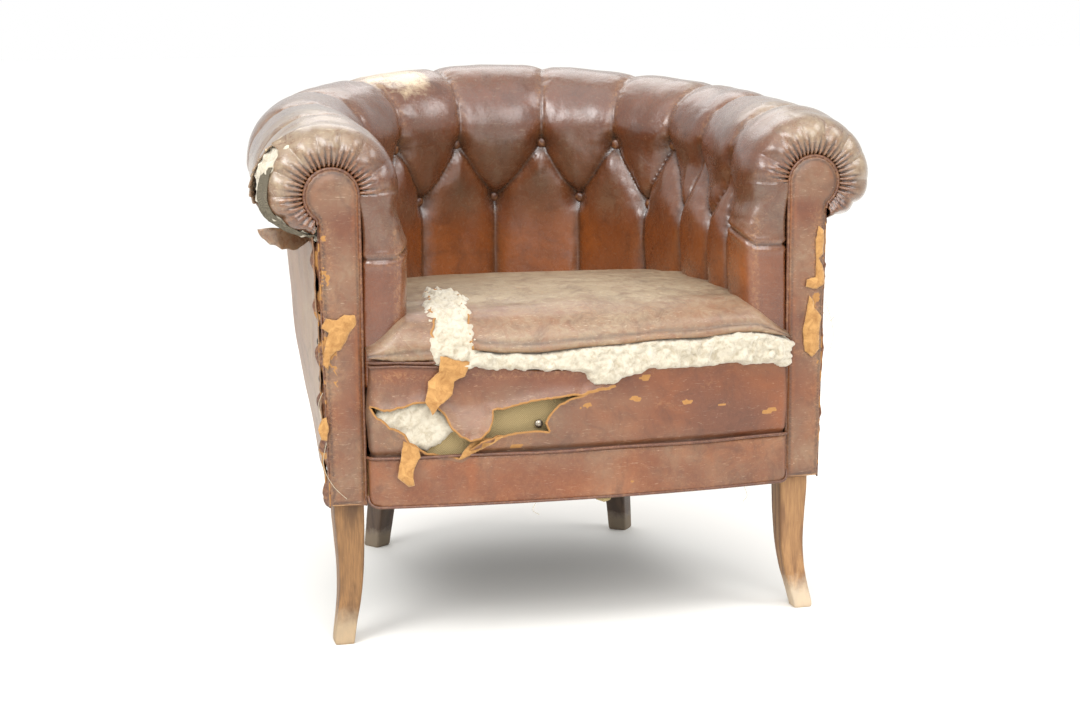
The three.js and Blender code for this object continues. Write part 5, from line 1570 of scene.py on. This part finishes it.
class CHAIR_OT_stage(bpy.types.Operator):
    """Sets the camera, the pale floor and the soft studio light"""

    bl_idname = "chair.stage"
    bl_label = "Camera, floor and light"

    def execute(self, context):
        deselect()
        bpy.ops.object.camera_add(location=(-0.668, -2.809, 0.807),
                                  rotation=[math.radians(a) for a in (80.175, 0.464, -13.81)])
        camera = context.object
        camera.data.lens = 68.5
        context.scene.camera = camera
        deselect()
        bpy.ops.mesh.primitive_plane_add(size=60)
        floor = context.object
        floor.name = "floor"
        material, tree = new_material("pale painted floor")
        where = node(tree, "ShaderNodeTexCoord").outputs["Object"]
        colour = mix(tree, noise(tree, where, 900, 3), rgba(linear("#f7f6f2")), rgba(linear("#f2f0eb")))
        finish_material(tree, node(tree, "ShaderNodeBsdfPrincipled",
                                   {"Base Color": colour, "Roughness": 1.0, "Specular IOR Level": 0.1}))
        floor.data.materials.append(material)
        world = bpy.data.worlds.new("studio")
        context.scene.world = world
        world.use_nodes = True
        background = world.node_tree.nodes["Background"]
        seen = node(world.node_tree, "ShaderNodeLightPath").outputs["Is Camera Ray"]
        strength = node(world.node_tree, "ShaderNodeMapRange", {"Value": seen, "To Min": 0.86, "To Max": 1.0})
        background.inputs["Color"].default_value = (1, 1, 1, 1)
        world.node_tree.links.new(strength.outputs[0], background.inputs["Strength"])
        context.scene.view_settings.view_transform = "Standard"
        for place, target, power, size in LAMPS:
            deselect()
            aim = Vector(target) - Vector(place)
            bpy.ops.object.light_add(type="AREA", location=place, rotation=aim.to_track_quat("-Z", "Y").to_euler())
            lamp = context.object
            lamp.data.energy = power
            lamp.data.size = size
        deselect()
        bpy.ops.object.light_add(type="SUN", location=(-1, -2, 4), rotation=(math.radians(28), math.radians(-16), 0))
        context.object.data.energy = 1.2
        context.object.data.angle = math.radians(70)
        return {"FINISHED"}


STEPS = (CHAIR_OT_stage, CHAIR_OT_tub, CHAIR_OT_buttons, CHAIR_OT_seat, CHAIR_OT_border, CHAIR_OT_facings,
         CHAIR_OT_outside, CHAIR_OT_legs, CHAIR_OT_underside, CHAIR_OT_threads)


class CHAIR_PT_panel(bpy.types.Panel):
    """Lists the chair's pieces in the order they are made"""

    bl_idname = "CHAIR_PT_panel"
    bl_label = "Club chair"
    bl_space_type = "VIEW_3D"
    bl_region_type = "UI"
    bl_category = "Club chair"

    def draw(self, context):
        for group in (context.scene.chair_sizes, context.scene.chair_colours):
            for name in group.__annotations__:
                self.layout.prop(group, name)
        for step in STEPS:
            self.layout.operator(step.bl_idname)


CLASSES = (ChairSizes, ChairColours, *STEPS, CHAIR_PT_panel)


def register():
    for one in CLASSES:
        bpy.utils.register_class(one)
    bpy.types.Scene.chair_sizes = bpy.props.PointerProperty(type=ChairSizes)
    bpy.types.Scene.chair_colours = bpy.props.PointerProperty(type=ChairColours)


def unregister():
    del bpy.types.Scene.chair_sizes, bpy.types.Scene.chair_colours
    for one in reversed(CLASSES):
        bpy.utils.unregister_class(one)


def main():
    register()
    for step in STEPS:
        group, name = step.bl_idname.split(".")
        getattr(getattr(bpy.ops, group), name)()


if __name__ == "__main__":
    main()
